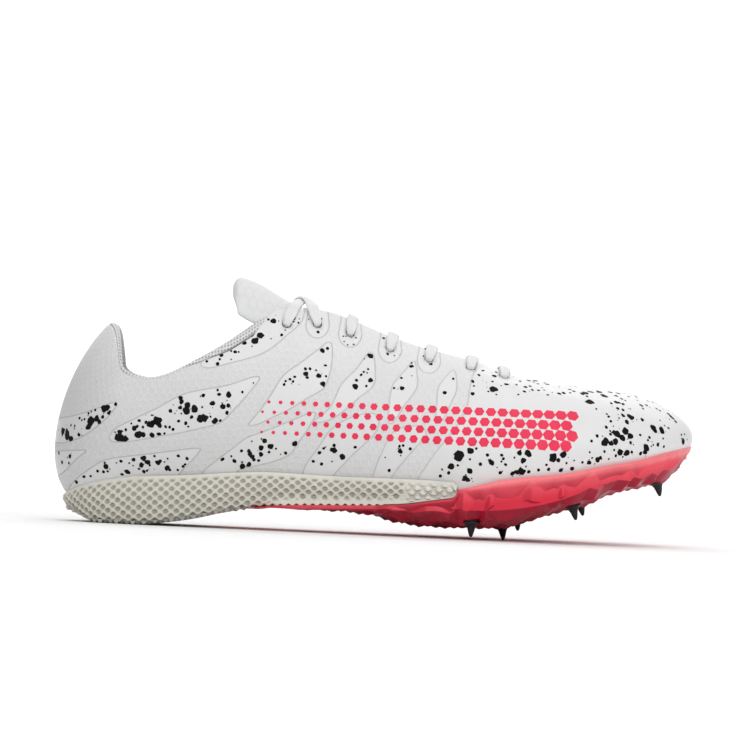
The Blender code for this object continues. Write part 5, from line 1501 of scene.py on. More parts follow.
# %% Finish of the tongue
tongue_finish, t, shader = finish("tongue_mesh", (0.80, 0.80, 0.81), 0.72, Sheen_Weight=0.15)
ridge = t.ramp(t.weave(HEXAGON_NET, 0.0042), 0.66, 0.95)
binding = t.ramp(t.attribute("edge_place"), 0.0022, 0.0028)
colour = t.mix(ridge, (0.77, 0.77, 0.775, 1), (0.74, 0.74, 0.745, 1))
t.join(shader.inputs["Base Color"], t.mix(binding, (0.76, 0.765, 0.77, 1), colour))
height = t.math("MULTIPLY", ridge, t.math("MULTIPLY", binding, -0.3))
height = t.math("ADD", height, t.math("MULTIPLY", t.weave(WEAVE, 0.0006), 0.22))
height = t.math("ADD", height, t.math("MULTIPLY", binding, -0.5))
bump(t, shader, height, 0.0003, 0.8)
tongue.data.materials.append(tongue_finish)

# %% [markdown]
# ## The insole
# A sockliner of foam with a knit cover fills the sole's cup. Its edge rises a little against the lining,
# most at the heel, so it is a shallow dish and not a flat board.
# %% Build the insole
def build_insole():
    count, wide = 120, 18
    turns = column_turns(count)
    inset = FOOT_INSET + UPPER_WALL + 2 * GAP + 0.0006
    outer, _ = outline(OUTER, turns, inset)
    inner, _ = outline(INNER, turns, inset)
    shares = np.linspace(-1, 1, wide + 1)
    rows_top, rows_low = [], []
    for a, b in zip(outer, inner):
        line = np.array([a + (b - a) * (s + 1) / 2 for s in shares])
        bed = bed_height(line[:, 0]) + GAP
        cup = 0.0022 * np.abs(shares) ** 4 * (0.4 + 0.6 * np.clip((0.05 - line[:, 0]) / 0.05, 0, 1))
        rows_top.append(np.column_stack([line, bed + INSOLE_THICKNESS + cup]))
        rows_low.append(np.column_stack([line, bed]))
    top, low = np.array(rows_top), np.array(rows_low)
    section = np.concatenate([top, low[:, ::-1]], 1)
    made = mesh_object("sockliner", section, grid_faces(section, tube=True))
    store(made.data, "weave_place", section.reshape(-1, 3), "FLOAT_VECTOR")
    with editing(made) as shape:
        bmesh.ops.remove_doubles(shape, verts=shape.verts, dist=1e-6)
        bmesh.ops.recalc_face_normals(shape, faces=shape.faces)
    made.data.shade_smooth()
    return made


insole = build_insole()
print("insole:", triangles(insole), "triangles")

# %% Finish of the insole
insole_finish, t, shader = finish("sockliner_knit", (0.62, 0.63, 0.64), 0.9, Sheen_Weight=0.3)
knit = t.weave(WEAVE, 0.0013)
t.join(shader.inputs["Base Color"], t.mix(knit, (0.50, 0.51, 0.52, 1), (0.70, 0.71, 0.72, 1)))
bump(t, shader, knit, 0.0003, 0.7)
insole.data.materials.append(insole_finish)

# %% [markdown]
# ## The laces
# One flat woven lace. It comes up through an eyelet, turns over its edge, lies on the eyelet stay, drops
# over the edge of the throat and crosses the tongue. The two top pairs are crossed and the others are
# straight bars. Its path is a list of points with the way that its flat side faces; a soft section is swept
# along it.
# %% Paths of the lace
LACE_EDGE = 0.24
LACE_SHARES = (0.0, 0.06, 0.12, 0.18, 0.24, 0.34, 0.42, 0.50, 0.58, 0.66, 0.76, 0.82, 0.88, 0.94, 1.0)
LACE_CROSS_RISE = 0.0030
LACE_FALL = 0.0010
LACE_DIVE = (0.0035, 0.0010)  # depths below an eyelet that the lace's end passes
LACE_PINCH, PINCH_RUN = 0.62, 0.005  # share of its width in an eyelet, and the length over which it widens
HIDDEN_DEPTH, HIDDEN_SAG, HIDDEN_WIDTH = 0.0034, 0.0006, 0.8  # a run under the stays, and its share of width


def lace_path(start, end, over):
    """Middle points and facings of one strand, from inside an outer eyelet to inside an inner one."""
    ends = {OUTER: eyelet_frame(OUTER, place(start)), INNER: eyelet_frame(INNER, place(end))}
    turns = ends[OUTER][2], ends[INNER][2]
    height = 2 * GAP + LACE_THICKNESS / 2
    edges = {}
    for side, share in ((OUTER, LACE_EDGE), (INNER, 1 - LACE_EDGE)):
        edge, normal = surface_frame(side, turns[0] + (turns[1] - turns[0]) * share, 1.0)
        edges[side] = edge + normal * height
    points, facings = [], []
    for share in LACE_SHARES:
        side = OUTER if share < 0.5 else INNER
        near = min(share, 1 - share)
        turn = turns[0] + (turns[1] - turns[0]) * share
        if near <= LACE_EDGE:
            rise = ends[side][3] + (1 - ends[side][3]) * near / LACE_EDGE
            point, normal = surface_frame(side, turn, rise)
            points.append(point + normal * height)
            facings.append(normal)
            continue
        across = (share - LACE_EDGE) / (1 - 2 * LACE_EDGE)
        point = edges[OUTER] + (edges[INNER] - edges[OUTER]) * across
        point[2] += (over - LACE_FALL) * (1 - (2 * across - 1) ** 2)
        points.append(point)
        facings.append(np.array([0.25, 0.0, 0.97]))
    for side, first in ((OUTER, True), (INNER, False)):
        middle, normal, _, _ = ends[side]
        ahead = points[1] - points[0] if first else points[-2] - points[-1]
        ahead = ahead - normal * (ahead @ normal)
        ahead /= np.linalg.norm(ahead)
        dive = [(middle - normal * deep, ahead * -1) for deep in LACE_DIVE]
        dive += [(middle + normal * 0.0006 + ahead * 0.0002, normal * 0.55 - ahead * 0.83)]
        if first:
            points = [p for p, _ in dive] + points[1:]
            facings = [f for _, f in dive] + facings[1:]
        else:
            points = points[:-1] + [p for p, _ in reversed(dive)]
            facings = facings[:-1] + [f for _, f in reversed(dive)]
    return np.array(points), np.array(facings)


# %% A flat strap along a path
def finer(values, steps):
    """A smooth curve through rows of values, with steps pieces between two rows."""
    padded = np.concatenate([values[:1] * 2 - values[1:2], values, values[-1:] * 2 - values[-2:-1]])
    rows = []
    for i in range(1, len(padded) - 2):
        a, b, c, d = padded[i - 1 : i + 3]
        for k in range(steps):
            u = k / steps
            bent = (2 * a - 5 * b + 4 * c - d) * u**2 + (3 * b - a - 3 * c + d) * u**3
            rows.append(0.5 * (2 * b + (c - a) * u + bent))
    rows.append(padded[-2])
    return np.array(rows)


def swollen(value, power):
    """A sine or cosine drawn towards 1, which makes an oval's ends blunter."""
    return math.copysign(abs(value) ** power, value)


LACE_SECTION = [(swollen(math.cos(a), 0.75), swollen(math.sin(a), 0.8))
                for a in np.linspace(0, 2 * math.pi, 20, endpoint=False)]


def strap(points, facings, narrow):
    """Vertices, faces and woven lengths of a flat lace swept along a path."""
    ahead = unit(np.gradient(points, axis=0))
    facings = unit(facings - ahead * np.sum(facings * ahead, axis=1, keepdims=True))
    wide = np.cross(facings, ahead)
    run = walked(points)
    verts, lengths = [], []
    for i in range(len(points)):
        for c, s in LACE_SECTION:
            across = wide[i] * c * LACE_WIDTH / 2 * narrow[i]
            verts.append(points[i] + across + facings[i] * s * LACE_THICKNESS / 2)
            lengths.append((run[i], c * LACE_WIDTH / 2, 0.0))
    size = len(LACE_SECTION)
    faces = [
        (i * size + j, i * size + (j + 1) % size, (i + 1) * size + (j + 1) % size, (i + 1) * size + j)
        for i in range(len(points) - 1)
        for j in range(size)
    ]
    faces += [tuple(range(size))[::-1], tuple(range((len(points) - 1) * size, len(points) * size))]
    return verts, faces, lengths


# %% Shown strands and hidden runs
def strand(start, end, over):
    points, facings = lace_path(start, end, over)
    points, facings = finer(points, 5), finer(facings, 5)
    run = walked(points)
    near = np.minimum(run, run[-1] - run)
    narrow = LACE_PINCH + (1 - LACE_PINCH) * np.clip((near - 0.003) / PINCH_RUN, 0, 1)
    return strap(points, facings, narrow)


def hidden_run(side, first, second):
    """A strand inside the shoe, under the eyelet stay, from one eyelet to another on the same side."""
    points, facings = [], []
    for share in np.linspace(0, 1, 9):
        a, b = EYELET_FRAMES[side][first], EYELET_FRAMES[side][second]
        turn, rise = a[2] + (b[2] - a[2]) * share, a[3] + (b[3] - a[3]) * share
        point, normal = surface_frame(side, turn, rise)
        points.append(point - normal * (HIDDEN_DEPTH + HIDDEN_SAG * math.sin(share * math.pi)))
        facings.append(normal)
    points, facings = finer(np.array(points), 3), finer(np.array(facings), 3)
    return strap(points, facings, np.full(len(points), HIDDEN_WIDTH))


# %% Build the laces
lace_finish, t, shader = finish("woven_lace", (0.88, 0.88, 0.885), 0.78, Sheen_Weight=0.2)
weave = t.weave(WEAVE, 0.00075)
t.join(shader.inputs["Base Color"], t.mix(weave, (0.78, 0.785, 0.79, 1), (0.94, 0.94, 0.945, 1)))
bump(t, shader, weave, 0.00025, 0.8)


def build_laces():
    top, below = EYELETS[:2]
    runs = [("lace_over", strand(below, top, LACE_CROSS_RISE + LACE_THICKNESS * 0.8), "lace_cross"),
            ("lace_under", strand(top, below, LACE_CROSS_RISE), "lace_cross")]
    runs += [(f"lace_strand_{n}", strand(at, at, 0.0), f"lace_bar_{n}")
             for n, at in enumerate(EYELETS[2:], 3)]
    runs += [(f"lace_hidden_{first + 1}", hidden_run(side, first, first - 1), None)
             for side, first in ((OUTER, 6), (INNER, 5), (OUTER, 4), (INNER, 3), (OUTER, 2))]
    made = []
    for name, (verts, faces, lengths), node in runs:
        piece = mesh_object(name, verts, faces, lace_finish)
        store(piece.data, "weave_place", lengths, "FLOAT_VECTOR")
        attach(piece, "root")
        if node:
            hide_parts(node)
        made.append(piece)
    return made


laces = build_laces()
print("laces:", len(laces), "strands,", sum(triangles(piece) for piece in laces), "triangles")

# %% [markdown]
# ## The heel unit
# The heel unit is moulded foam. Its side is covered with small round pits in a diamond pattern, under a
# smooth bead that is painted lighter as a highlight, and its underside carries rows of small cones. The side
# is a fine grid along the outline; each vertex is pushed inwards by a wave of its own length along and down
# the side, so the pits keep one size all the way round.
# %% Profile of the heel unit's side
HORN_BLUNT = 0.10
SIDE_PROFILE = [  # share of the way down, inset in millimetres
    (0.000, 0.80), (0.030, 0.25), (0.060, 0.00), (0.200, -0.80), (0.350, -1.20), (0.500, -0.95),
    (0.620, -0.40), (0.760, 0.45), (0.880, 1.35), (0.960, 3.20), (1.000, 7.00),
]
_side_inset = even_curve(SIDE_PROFILE, 1)
PIT_ALONG, PIT_DOWN, PIT_DEPTH = 0.0049, 0.0042, 0.0010
STUDS_FROM = 0.127
HEEL_ROWS, HEEL_STEP = 46, 0.00050
TEETH = (0.050, 0.008, 0.122, 0.006)  # the lower edge's teeth: where they start and end, each with its fade
STUD_FLOOR = 0.35  # how deep the ground between the studs lies, a share of PIT_DEPTH
TOOTH_LENGTH, TOOTH_HEIGHT = 0.0036, 0.0012
BEAD_HEIGHT = 0.0016
CONE_HEIGHT = 0.0015


def peak(along, size):
    """1 on a ridge and 0 in the valley between two, for lengths along a side."""
    return 1 - np.abs(2 * ((along / size) % 1) - 1)


def heel_levels(x):
    """Rim and lower line of the heel unit's side. Both close in at the blunt end of a horn."""
    left = np.clip((HEEL_UNIT_END - station_of(x)) / (0.45 * HEEL_UNIT_TAPER), 0, 1)
    blunt = HORN_BLUNT * RIM_HEIGHT * (1 - np.sqrt(np.clip(1 - (1 - left) ** 2, 0, 1)))
    return rim_height(x) - blunt, parting_height(x) + blunt


def heel_side(side, turns, rows):
    """Points down the side for each turn, from behind the bead to under the edge."""
    downs = np.linspace(0, 1, rows + 1) ** 0.93
    back, _ = outline(side, turns, RIM_THICKNESS)
    rim, low = heel_levels(back[:, 0])
    points = [np.column_stack([back, rim])]
    rear = np.clip((-0.006 - back[:, 0]) / 0.012, 0, 1)
    on_plate = np.clip((back[:, 0] - 0.054) / 0.020, 0, 1)
    for down in downs:
        inset = np.full(len(turns), float(_side_inset(down)) * MM)
        inset = inset + 0.0044 * rear * down * (1 - down)
        flush = np.minimum(inset, 0.0002)
        plan, _ = outline(side, turns, inset + (flush - inset) * on_plate)
        rim, low = heel_levels(plan[:, 0])
        points.append(np.column_stack([plan, rim - down * (rim - low)]))
    return np.stack(points, 1)


def turns_between(first, last, step):
    fine = np.linspace(float(turn_of_station(first)), float(turn_of_station(last)), 1200)
    run = walked(outline(OUTER, fine)[0])
    return np.interp(np.linspace(0, run[-1], int(run[-1] / step) + 1), run, fine)


# %% Push the pits in
def build_heel_side():
    turns = turns_between(OUTLINE_START, HEEL_UNIT_END, HEEL_STEP)
    outer, inner = heel_side(OUTER, turns, HEEL_ROWS), heel_side(INNER, turns, HEEL_ROWS)
    points = np.concatenate([outer[::-1], inner[1:]], 0)
    back, middle = len(turns) - 1, 20  # the column at the very back, and the row where lengths are measured
    along = walked(points[:, middle])
    along = along - along[back]
    down = walked_columns(points[:, 1:])
    down = np.concatenate([np.zeros((len(points), 1)), down], 1)
    normal = unit(np.cross(np.gradient(points, axis=0), np.gradient(points, axis=1)))
    if normal[back, middle, 0] > 0:
        normal = -normal
    wave = np.cos(2 * math.pi * along[:, None] / PIT_ALONG) + np.cos(2 * math.pi * (down - 0.0042) / PIT_DOWN)
    pit = soft(np.clip((np.abs(wave) / 2 - 0.14) / 0.62, 0, 1))
    stud = np.clip((points[..., 0] - STUDS_FROM) / 0.004, 0, 1)  # towards the horn's tip pits turn into studs
    tooth = TOOTH_HEIGHT * (peak(along, TOOTH_LENGTH) - 0.35)
    x, (start, start_fade, end, end_fade) = points[:, -1, 0], TEETH
    tooth = tooth * np.clip((x - start) / start_fade, 0, 1) * np.clip((end - x) / end_fade, 0, 1)
    points[:, -6:, 2] -= tooth[:, None] * np.linspace(0.1, 1.0, 6)[None]
    clear = np.clip((down - BEAD_HEIGHT) / 0.0006, 0, 1)
    length = np.maximum(down[:, -1:], 1e-6)
    margin = 0.0010 - 0.0007 * stud
    clear = clear * np.clip((length - down - margin) / (2 * margin), 0, 1)
    bead = np.exp(-((down - 0.0008) / 0.0006) ** 2) * 0.00018
    relief = pit * clear * (1 - stud) + (STUD_FLOOR - (1 + STUD_FLOOR) * pit) * clear * stud
    points = points + normal * (bead - relief * PIT_DEPTH)[..., None]
    made = mesh_object("heel_side", points, grid_faces(points))
    with editing(made) as shape:
        bmesh.ops.recalc_face_normals(shape, faces=shape.faces)
        back_face = min(shape.faces, key=lambda f: f.calc_center_median().x)
        if back_face.normal.x > 0:
            bmesh.ops.reverse_faces(shape, faces=shape.faces)
    made.data.shade_smooth()
    # The finish reads pit and down: pit for painted shade in the pits and a painted highlight on the studs,
    # down for a painted highlight along the bead.
    store(made.data, "pit", relief.ravel())
    store(made.data, "down", down.ravel())
    return made


heel_side_piece = build_heel_side()
print("heel side:", triangles(heel_side_piece), "triangles")


# %% The heel unit's floor, its inner wall and the ends of its horns
FLOOR_RING = [  # inset and level of one side's half of a ring, from the bed over the rim to the underside
    (RIM_THICKNESS, "bed"), (RIM_THICKNESS, "rim"), (0.0010, "rim"), (0.0010, "mid"), (0.0040, "low"),
    (0.0110, "low"),
]


def build_heel_floor():
    """Rings of the body inside the pitted side: underside, and wall against the plate and the shell."""
    turns = turns_between(OUTLINE_START, HEEL_UNIT_END, 0.0024)
    rings = []
    for turn in turns:
        line = []
        for side in (OUTER, INNER):
            half = []
            for inset, where in FLOOR_RING:
                plan, _ = outline(side, np.array([turn]), inset)
                x = plan[0, 0]
                rim, low = (float(v) for v in heel_levels(x))
                low += CONE_HEIGHT
                open_floor = station_of(x) < HEEL_FLOOR_END
                bed = float(bed_height(x)) if open_floor else low + 0.0004
                height = {"bed": bed, "rim": rim - 0.0004, "mid": (rim + low) / 2, "low": low}[where]
                half.append((x, plan[0, 1], height))
            line.append(half)
        rings.append(line[0] + line[1][::-1])
    return np.array(rings)


def closed_body(name, rings):
    """A closed mesh through rings of points, with a face over each end."""
    count, size = rings.shape[:2]
    ends = [tuple(range(size)), tuple(range((count - 1) * size, count * size))]
    made = mesh_object(name, rings, grid_faces(rings, tube=True) + ends, smooth=False)
    with editing(made) as shape:
        bmesh.ops.remove_doubles(shape, verts=shape.verts, dist=2e-6)
        bmesh.ops.dissolve_degenerate(shape, edges=shape.edges, dist=2e-6)
        bmesh.ops.recalc_face_normals(shape, faces=shape.faces)
        if shape.calc_volume(signed=True) < 0:
            bmesh.ops.reverse_faces(shape, faces=shape.faces)
    return made


def sharp_over(made, degrees):
    """Smooth faces, with a sharp edge wherever two of them meet at more than an angle."""
    for polygon in made.data.polygons:
        polygon.use_smooth = True
    made.data.set_sharp_from_angle(angle=math.radians(degrees))


rings = build_heel_floor()
floor_rings = rings[station_of(rings[:, 0, 0]) < HEEL_FLOOR_END - 0.004]
heel_floor = closed_body("heel_floor", floor_rings)
horn_rings = rings[station_of(rings[:, 0, 0]) >= HEEL_FLOOR_END - 0.014]
horns = [closed_body(f"heel_horn_{label}", part) for label, part in
         (("outer", horn_rings[:, :6]), ("inner", horn_rings[:, 6:]))]
print("heel floor:", triangles(heel_floor), "triangles, horns:", [triangles(h) for h in horns])

# %% [markdown]
# ### Cones under the heel
# The underside repeats one small cone in staggered rows. Geometry Nodes does this: points in, a cone on
# each, then the instances are made real. The points are worked out here, inside the outline, at the height
# of the underside.
# %% A tree that puts a cone on each point
def make_cone_tree(material):
    """A blunt cone on each point, pointing along the point's stored direction."""
    tree, t, source, drain = nodes_tree("cones_on_points", [
        ("Radius", "NodeSocketFloat", 0.001), ("Tip", "NodeSocketFloat", 0.0004),
        ("Height", "NodeSocketFloat", 0.0015)])
    cone = t.node("GeometryNodeMeshCone", {
        "Vertices": 8, "Side Segments": 1, "Radius Top": source["Tip"], "Radius Bottom": source["Radius"],
        "Depth": source["Height"]}, out="Mesh")
    painted(t, drain, spread(t, source, cone), material)
    return tree


# %% Finish of the heel unit
heel_finish, t, shader = finish("heel_foam", (0.60, 0.585, 0.50), 0.62, Specular_IOR_Level=0.3)
pit, down = t.attribute("pit"), t.attribute("down")
grain, clouds = t.grain(3500.0)
# Painted shade: the pits are painted darker, where shade falls in them.
colour = t.mix(t.ramp(pit, 0.10, 0.95), (0.72, 0.70, 0.62, 1), (0.42, 0.405, 0.335, 1))
# Painted highlight: towards the horn's tip the raised studs are painted lighter.
colour = t.mix(t.ramp(pit, -0.1, -0.7), colour, (0.80, 0.785, 0.73, 1))
# Painted highlight: the smooth bead along the top is painted lighter, where it faces the light from above.
colour = t.mix(t.ramp(down, 0.0006, 0.0018, 0.75, 0.0), colour, (0.76, 0.74, 0.69, 1))
_, _, level = t.parts(t.node("ShaderNodeNewGeometry", out="Normal"))
# Painted shade: faces that turn downwards are painted dark, as shade under the side.
colour = t.mix(t.ramp(level, -0.30, -0.95, 0.0, 0.85), colour, (0.22, 0.21, 0.175, 1))
colour = t.mix(t.ramp(clouds, 0.45, 0.85, 0.0, 0.28), colour, (0.50, 0.49, 0.44, 1))
t.join(shader.inputs["Base Color"], colour)
bump(t, shader, grain, 0.00012, 0.5)
heel_side_piece.data.materials.append(heel_finish)

under_finish, t, shader = finish("heel_under", (0.50, 0.49, 0.44), 0.7)
grain, clouds = t.grain(3000.0)
colour = t.mix(t.ramp(clouds, 0.35, 0.8), (0.52, 0.51, 0.46, 1), (0.40, 0.39, 0.35, 1))
t.join(shader.inputs["Base Color"], colour)
bump(t, shader, grain, 0.00015, 0.5)
for piece in [heel_floor] + horns:
    piece.data.materials.append(under_finish)


# %% Put the cones in rows
CONES_END, CONE_STRIP = 0.054, 0.007  # ahead of here the plate covers all but a strip along each edge
CONE_INSET = 0.0022


def heel_cone_points():
    points = []
    for row in range(-20, 21):
        y = row * PIT_DOWN / 2
        for column in range(0, 60):
            x = -0.0235 + column * PIT_ALONG + (row % 2) * PIT_ALONG / 2
            station = station_of(x)
            if not 0.02 < station < HEEL_FLOOR_END - 0.02:
                continue
            turn = np.array([float(turn_of_station(station))])
            low, high = (float(outline(side, turn, CONE_INSET)[0][0, 1]) for side in (OUTER, INNER))
            if low < y < high and not (x > CONES_END and low + CONE_STRIP < y < high - CONE_STRIP):
                points.append((x, y, float(parting_height(x)) + CONE_HEIGHT + 0.0002))
    return np.array(points)


cone_points = heel_cone_points()
downwards = {"facing": ("FLOAT_VECTOR", np.tile((0.0, 0.0, -1.0), (len(cone_points), 1)))}
cone_sizes = {"Radius": 0.0015, "Tip": 0.0006, "Height": CONE_HEIGHT}
heel_cones = run_tree(
    "heel_cones", (cone_points, downwards), make_cone_tree(under_finish), cone_sizes, under_finish)
print("heel cones:", len(cone_points), "cones,", triangles(heel_cones), "triangles")

# %% [markdown]
# ## The spike plate
# The plate is moulded nylon in coral red. Its side is a row of steep little mountains between valleys, its
# lower edge is jagged, and a smooth rim runs along the top, painted lighter as a highlight. The underside
# carries facets and shallow lugs. It is a fine grid round the whole foot part; the mountains are a sawtooth
# in the length along the side.
# %% Shape of the plate's side
FACET = 0.0150  # length of one mountain along the side
UNDER_FACETS = (0.0125, 0.0115)  # pitches of the facets underneath, along and across
MOUNTAIN = 0.0032  # how far a mountain stands out at its foot
LOW_MOUNTAIN = 0.62  # share of the height that every second mountain reaches
HORN_TIP = place(HEEL_UNIT_END)
TAIL_SINK = 0.0016
PLATE_SHOWS = 0.060  # the plate comes out from under the foam here
PLATE_SKIN = 0.0010
PLATE_EDGE = 0.0024
PLATE_STEP, PLATE_ROWS, PLATE_WIDE = 0.00075, 35, 60  # column spacing, rows down a side, cells across
BAND_SHARE, SLOPE_SHARE = 0.16, 0.60  # shares of the side's rows in the rim band and in the mountains
HORN_SHADE = 0.0032  # under the horns the plate's colour starts as if this far below a rim


def crown(x):
    return PLATE_CROWN * (1 - TOE_FLATTER * np.clip((station_of(x) - 0.75) / 0.13, 0, 1))


def seat_height(x):
    """Top of the plate under the foam; its tail lies a little higher, up between the foam's cones."""
    tail = 1 - np.clip((x - PLATE_SHOWS + 0.006) / 0.012, 0, 1)
    return parting_height(np.minimum(x, HORN_TIP)) - GAP + TAIL_SINK * soft(tail)


def plate_top(x, station):
    """Heights of the plate's rim and bed: a thin seat under the foam, and ahead of its horns a cup."""
    seat = seat_height(x)
    past = x - HORN_TIP
    curl = soft(np.clip((past + 0.0018) / 0.0026, 0, 1))
    start = seat + 0.0034
    climb = np.clip(past / 0.020, 0, 1)
    high = start + (rim_height(x) - start) * (1 - (1 - climb) ** 1.8)
    rim = seat + (high - seat) * curl
    bed = np.where(station < HEEL_FLOOR_END, seat, np.minimum(bed_height(x), rim - 0.0004))
    return rim, bed


def plate_depth(x):
    """Least thickness of the plate's edge: a thin tail that grows where it comes out from under the foam."""
    return PLATE_EDGE * np.clip((x - PLATE_SHOWS) / 0.022, 0.12, 1)


# %% Mountains down the plate's side
def plate_side(side, turns, along):
    """Points over the side of the plate, for columns of turns with lengths along the side."""
    plan0, _ = outline(side, turns, 0.0)
    station = station_of(plan0[:, 0])
    hidden = 0.008 * (1 - np.clip((plan0[:, 0] - PLATE_SHOWS + 0.006) / 0.010, 0, 1))
    along = along + 0.0026 * np.sin(along / 0.0065) + 0.0011 * np.sin(along / 0.0027 + 1.0)
    ridge = peak(along, FACET)
    tall = np.where(np.floor(along / FACET) % 2 == 0, 1.0, LOW_MOUNTAIN)
    low_ridge = peak(along + FACET * 0.35, FACET * 0.70)
    shown = np.clip((station - 0.50) / 0.06, 0, 1)
    lean = MOUNTAIN * shown * (1 - 0.7 * np.clip((plan0[:, 0] - 0.222) / 0.022, 0, 1))
    rows = []
    for q in np.linspace(0, 1, PLATE_ROWS):
        # The rim band, then the mountains, which stand out more as they go down, then the jagged edge.
        band = np.clip(q / BAND_SHARE, 0, 1)
        slope = np.clip((q - BAND_SHARE) / SLOPE_SHARE, 0, 1)
        tuck = np.clip((q - 0.76) / 0.24, 0, 1)
        spread = np.clip((slope - (1 - tall)) / tall, 0, 1)
        mountain = np.clip(spread - (1 - ridge), 0, 1) * (1 - tuck)
        inset = hidden + 0.0006 * (1 - band) + lean * (slope - mountain) + 0.0005 * slope
        inset = inset + tuck * (0.0052 - 0.0020 * low_ridge)
        plan, _ = outline(side, turns, inset)
        x = plan[:, 0]
        rim, _ = plate_top(x, station)
        edge = under_height(x) + crown(x) * (1 - np.clip((0.42 - station_of(x)) / 0.12, 0, 1))
        edge = np.where(x < HORN_TIP, np.maximum(np.minimum(edge, rim - plate_depth(x)), under_line(x)), edge)
        jag = 0.0019 * (low_ridge - 0.35) * np.clip((station - 0.42) / 0.08, 0, 1)
        scallop = 0.15 * (1 - low_ridge) * shown
        down = band * 0.10 + slope * (0.66 - scallop) + tuck * (0.24 + scallop)
        height = rim - down * (rim - edge) - jag * tuck * (1 - 0.4 * tuck)
        rows.append(np.column_stack([plan, np.minimum(height, rim)]))
    return np.stack(rows, 1)


def under_line(x):
    """The plate's underside along its middle; its tail is no thicker than its edge."""
    thin = seat_height(x) - plate_depth(x)
    return np.where(x < PLATE_SHOWS + 0.022, np.maximum(under_height(x), thin), under_height(x))


def lift(x, y, outer, inner):
    half = np.maximum((inner - outer) / 2, 1e-4)
    return crown(x) * np.minimum(np.abs(y - (inner + outer) / 2) / half, 1.0) ** 3


# %% Build the plate
def build_plate():
    turns = turns_between(PLATE_START, 1.0, PLATE_STEP)
    pieces = {}
    for side in (OUTER, INNER):
        along = walked(outline(side, turns)[0])
        pieces[side] = plate_side(side, turns, along[-1] - along)
    station = station_of(outline(OUTER, turns)[0][:, 0])
    shares = np.linspace(0, 1, PLATE_WIDE + 1)[1:-1]
    start, end = pieces[OUTER][:, -1], pieces[INNER][:, -1]
    floor = start[:, None] + (end - start)[:, None] * shares[None, :, None]
    x, y = floor[..., 0], floor[..., 1]
    outer_y = outline(OUTER, turns)[0][:, 1][:, None]
    inner_y = outline(INNER, turns)[0][:, 1][:, None]
    facets = peak(x + 0.35 * y, UNDER_FACETS[0]) * peak(y - 0.2 * x, UNDER_FACETS[1])
    fade = np.clip((station_of(x) - 0.36) / 0.1, 0, 1)
    level = under_line(x) + lift(x, y, outer_y, inner_y) * np.clip((x - PLATE_SHOWS) / 0.03, 0, 1)
    level = level + fade * LUG_HEIGHT * (0.95 - 1.25 * facets)
    edge_blend = np.clip(np.minimum(shares, 1 - shares) / 0.06, 0, 1)[None, :]
    straight = floor[..., 2]
    floor[..., 2] = straight * (1 - edge_blend) + level * edge_blend
    _, bed = plate_top(pieces[OUTER][:, 0, 0], station)
    floor[..., 2] = np.minimum(floor[..., 2], bed[:, None] - PLATE_SKIN)
    cups = {}
    for side in (OUTER, INNER):
        plan, _ = outline(side, turns, RIM_THICKNESS)
        cups[side] = np.stack([np.column_stack([plan, level]) for level in plate_top(plan[:, 0], station)], 1)
    first, last = cups[OUTER][:, 1:2], cups[INNER][:, 1:2]
    beds = first + (last - first) * np.linspace(0, 1, 9)[None, 1:-1, None]
    rings = np.concatenate([
        cups[OUTER][:, ::-1], pieces[OUTER], floor, pieces[INNER][:, ::-1], cups[INNER], beds[:, ::-1]], 1)
    made = closed_body("plate_body", rings)
    sharp_over(made, 24)
    return made


plate = build_plate()
print("plate:", triangles(plate), "triangles")

# %% Finish of the plate
verts = vertex_array(plate.data)
# rim_gap: how far below the rim each vertex lies, and under the horns the depth below the parting line plus
# HORN_SHADE. The finish paints light and shade from it.
rim_gap = rim_height(verts[:, 0]) - verts[:, 2]
under_horn = np.maximum(parting_height(verts[:, 0]) - verts[:, 2], 0) + HORN_SHADE
store(plate.data, "rim_gap", np.where(station_of(verts[:, 0]) > HEEL_UNIT_END, rim_gap, under_horn))
plate_finish, t, shader = finish(
    "coral_nylon", (0.80, 0.03, 0.06), 0.42, Specular_IOR_Level=0.3, Coat_Weight=0.08, Coat_Roughness=0.3)
rim_gap = t.attribute("rim_gap")
grain, clouds = t.grain(1500.0)
# Painted light: the band along the rim is painted lighter as a highlight, and the coral is painted deeper
# farther below the rim as painted shade, which under the horns starts HORN_SHADE down, as painted shade under
# the foam.
colour = t.mix(t.ramp(rim_gap, 0.0018, 0.0040), (0.96, 0.22, 0.24, 1), (0.86, 0.085, 0.12, 1))
colour = t.mix(t.ramp(rim_gap, 0.0040, 0.0110), colour, (0.74, 0.022, 0.055, 1))
ahead, _, level = t.parts(t.node("ShaderNodeNewGeometry", out="Normal"))
# Painted shade: faces that turn downwards, away from the rim, are painted a dark red.
below = t.math("MULTIPLY", t.ramp(level, -0.18, -0.55), t.ramp(rim_gap, 0.0020, 0.0070, 0.25, 1.0))
colour = t.mix(below, colour, (0.36, 0.004, 0.028, 1))
shade = t.ramp(ahead, 0.15, -0.45, 0.0, 0.55)
colour = t.mix(t.math("MULTIPLY", shade, t.ramp(rim_gap, 0.0040, 0.0060)), colour, (0.52, 0.010, 0.035, 1))
colour = t.mix(t.ramp(clouds, 0.35, 0.8, 0.0, 0.20), colour, (0.62, 0.015, 0.05, 1))
t.join(shader.inputs["Base Color"], colour)
t.join(shader.inputs["Roughness"], t.ramp(clouds, 0.3, 0.75, 0.26, 0.42))
bump(t, shader, grain, 0.00008, 0.4)
plate.data.materials.append(plate_finish)

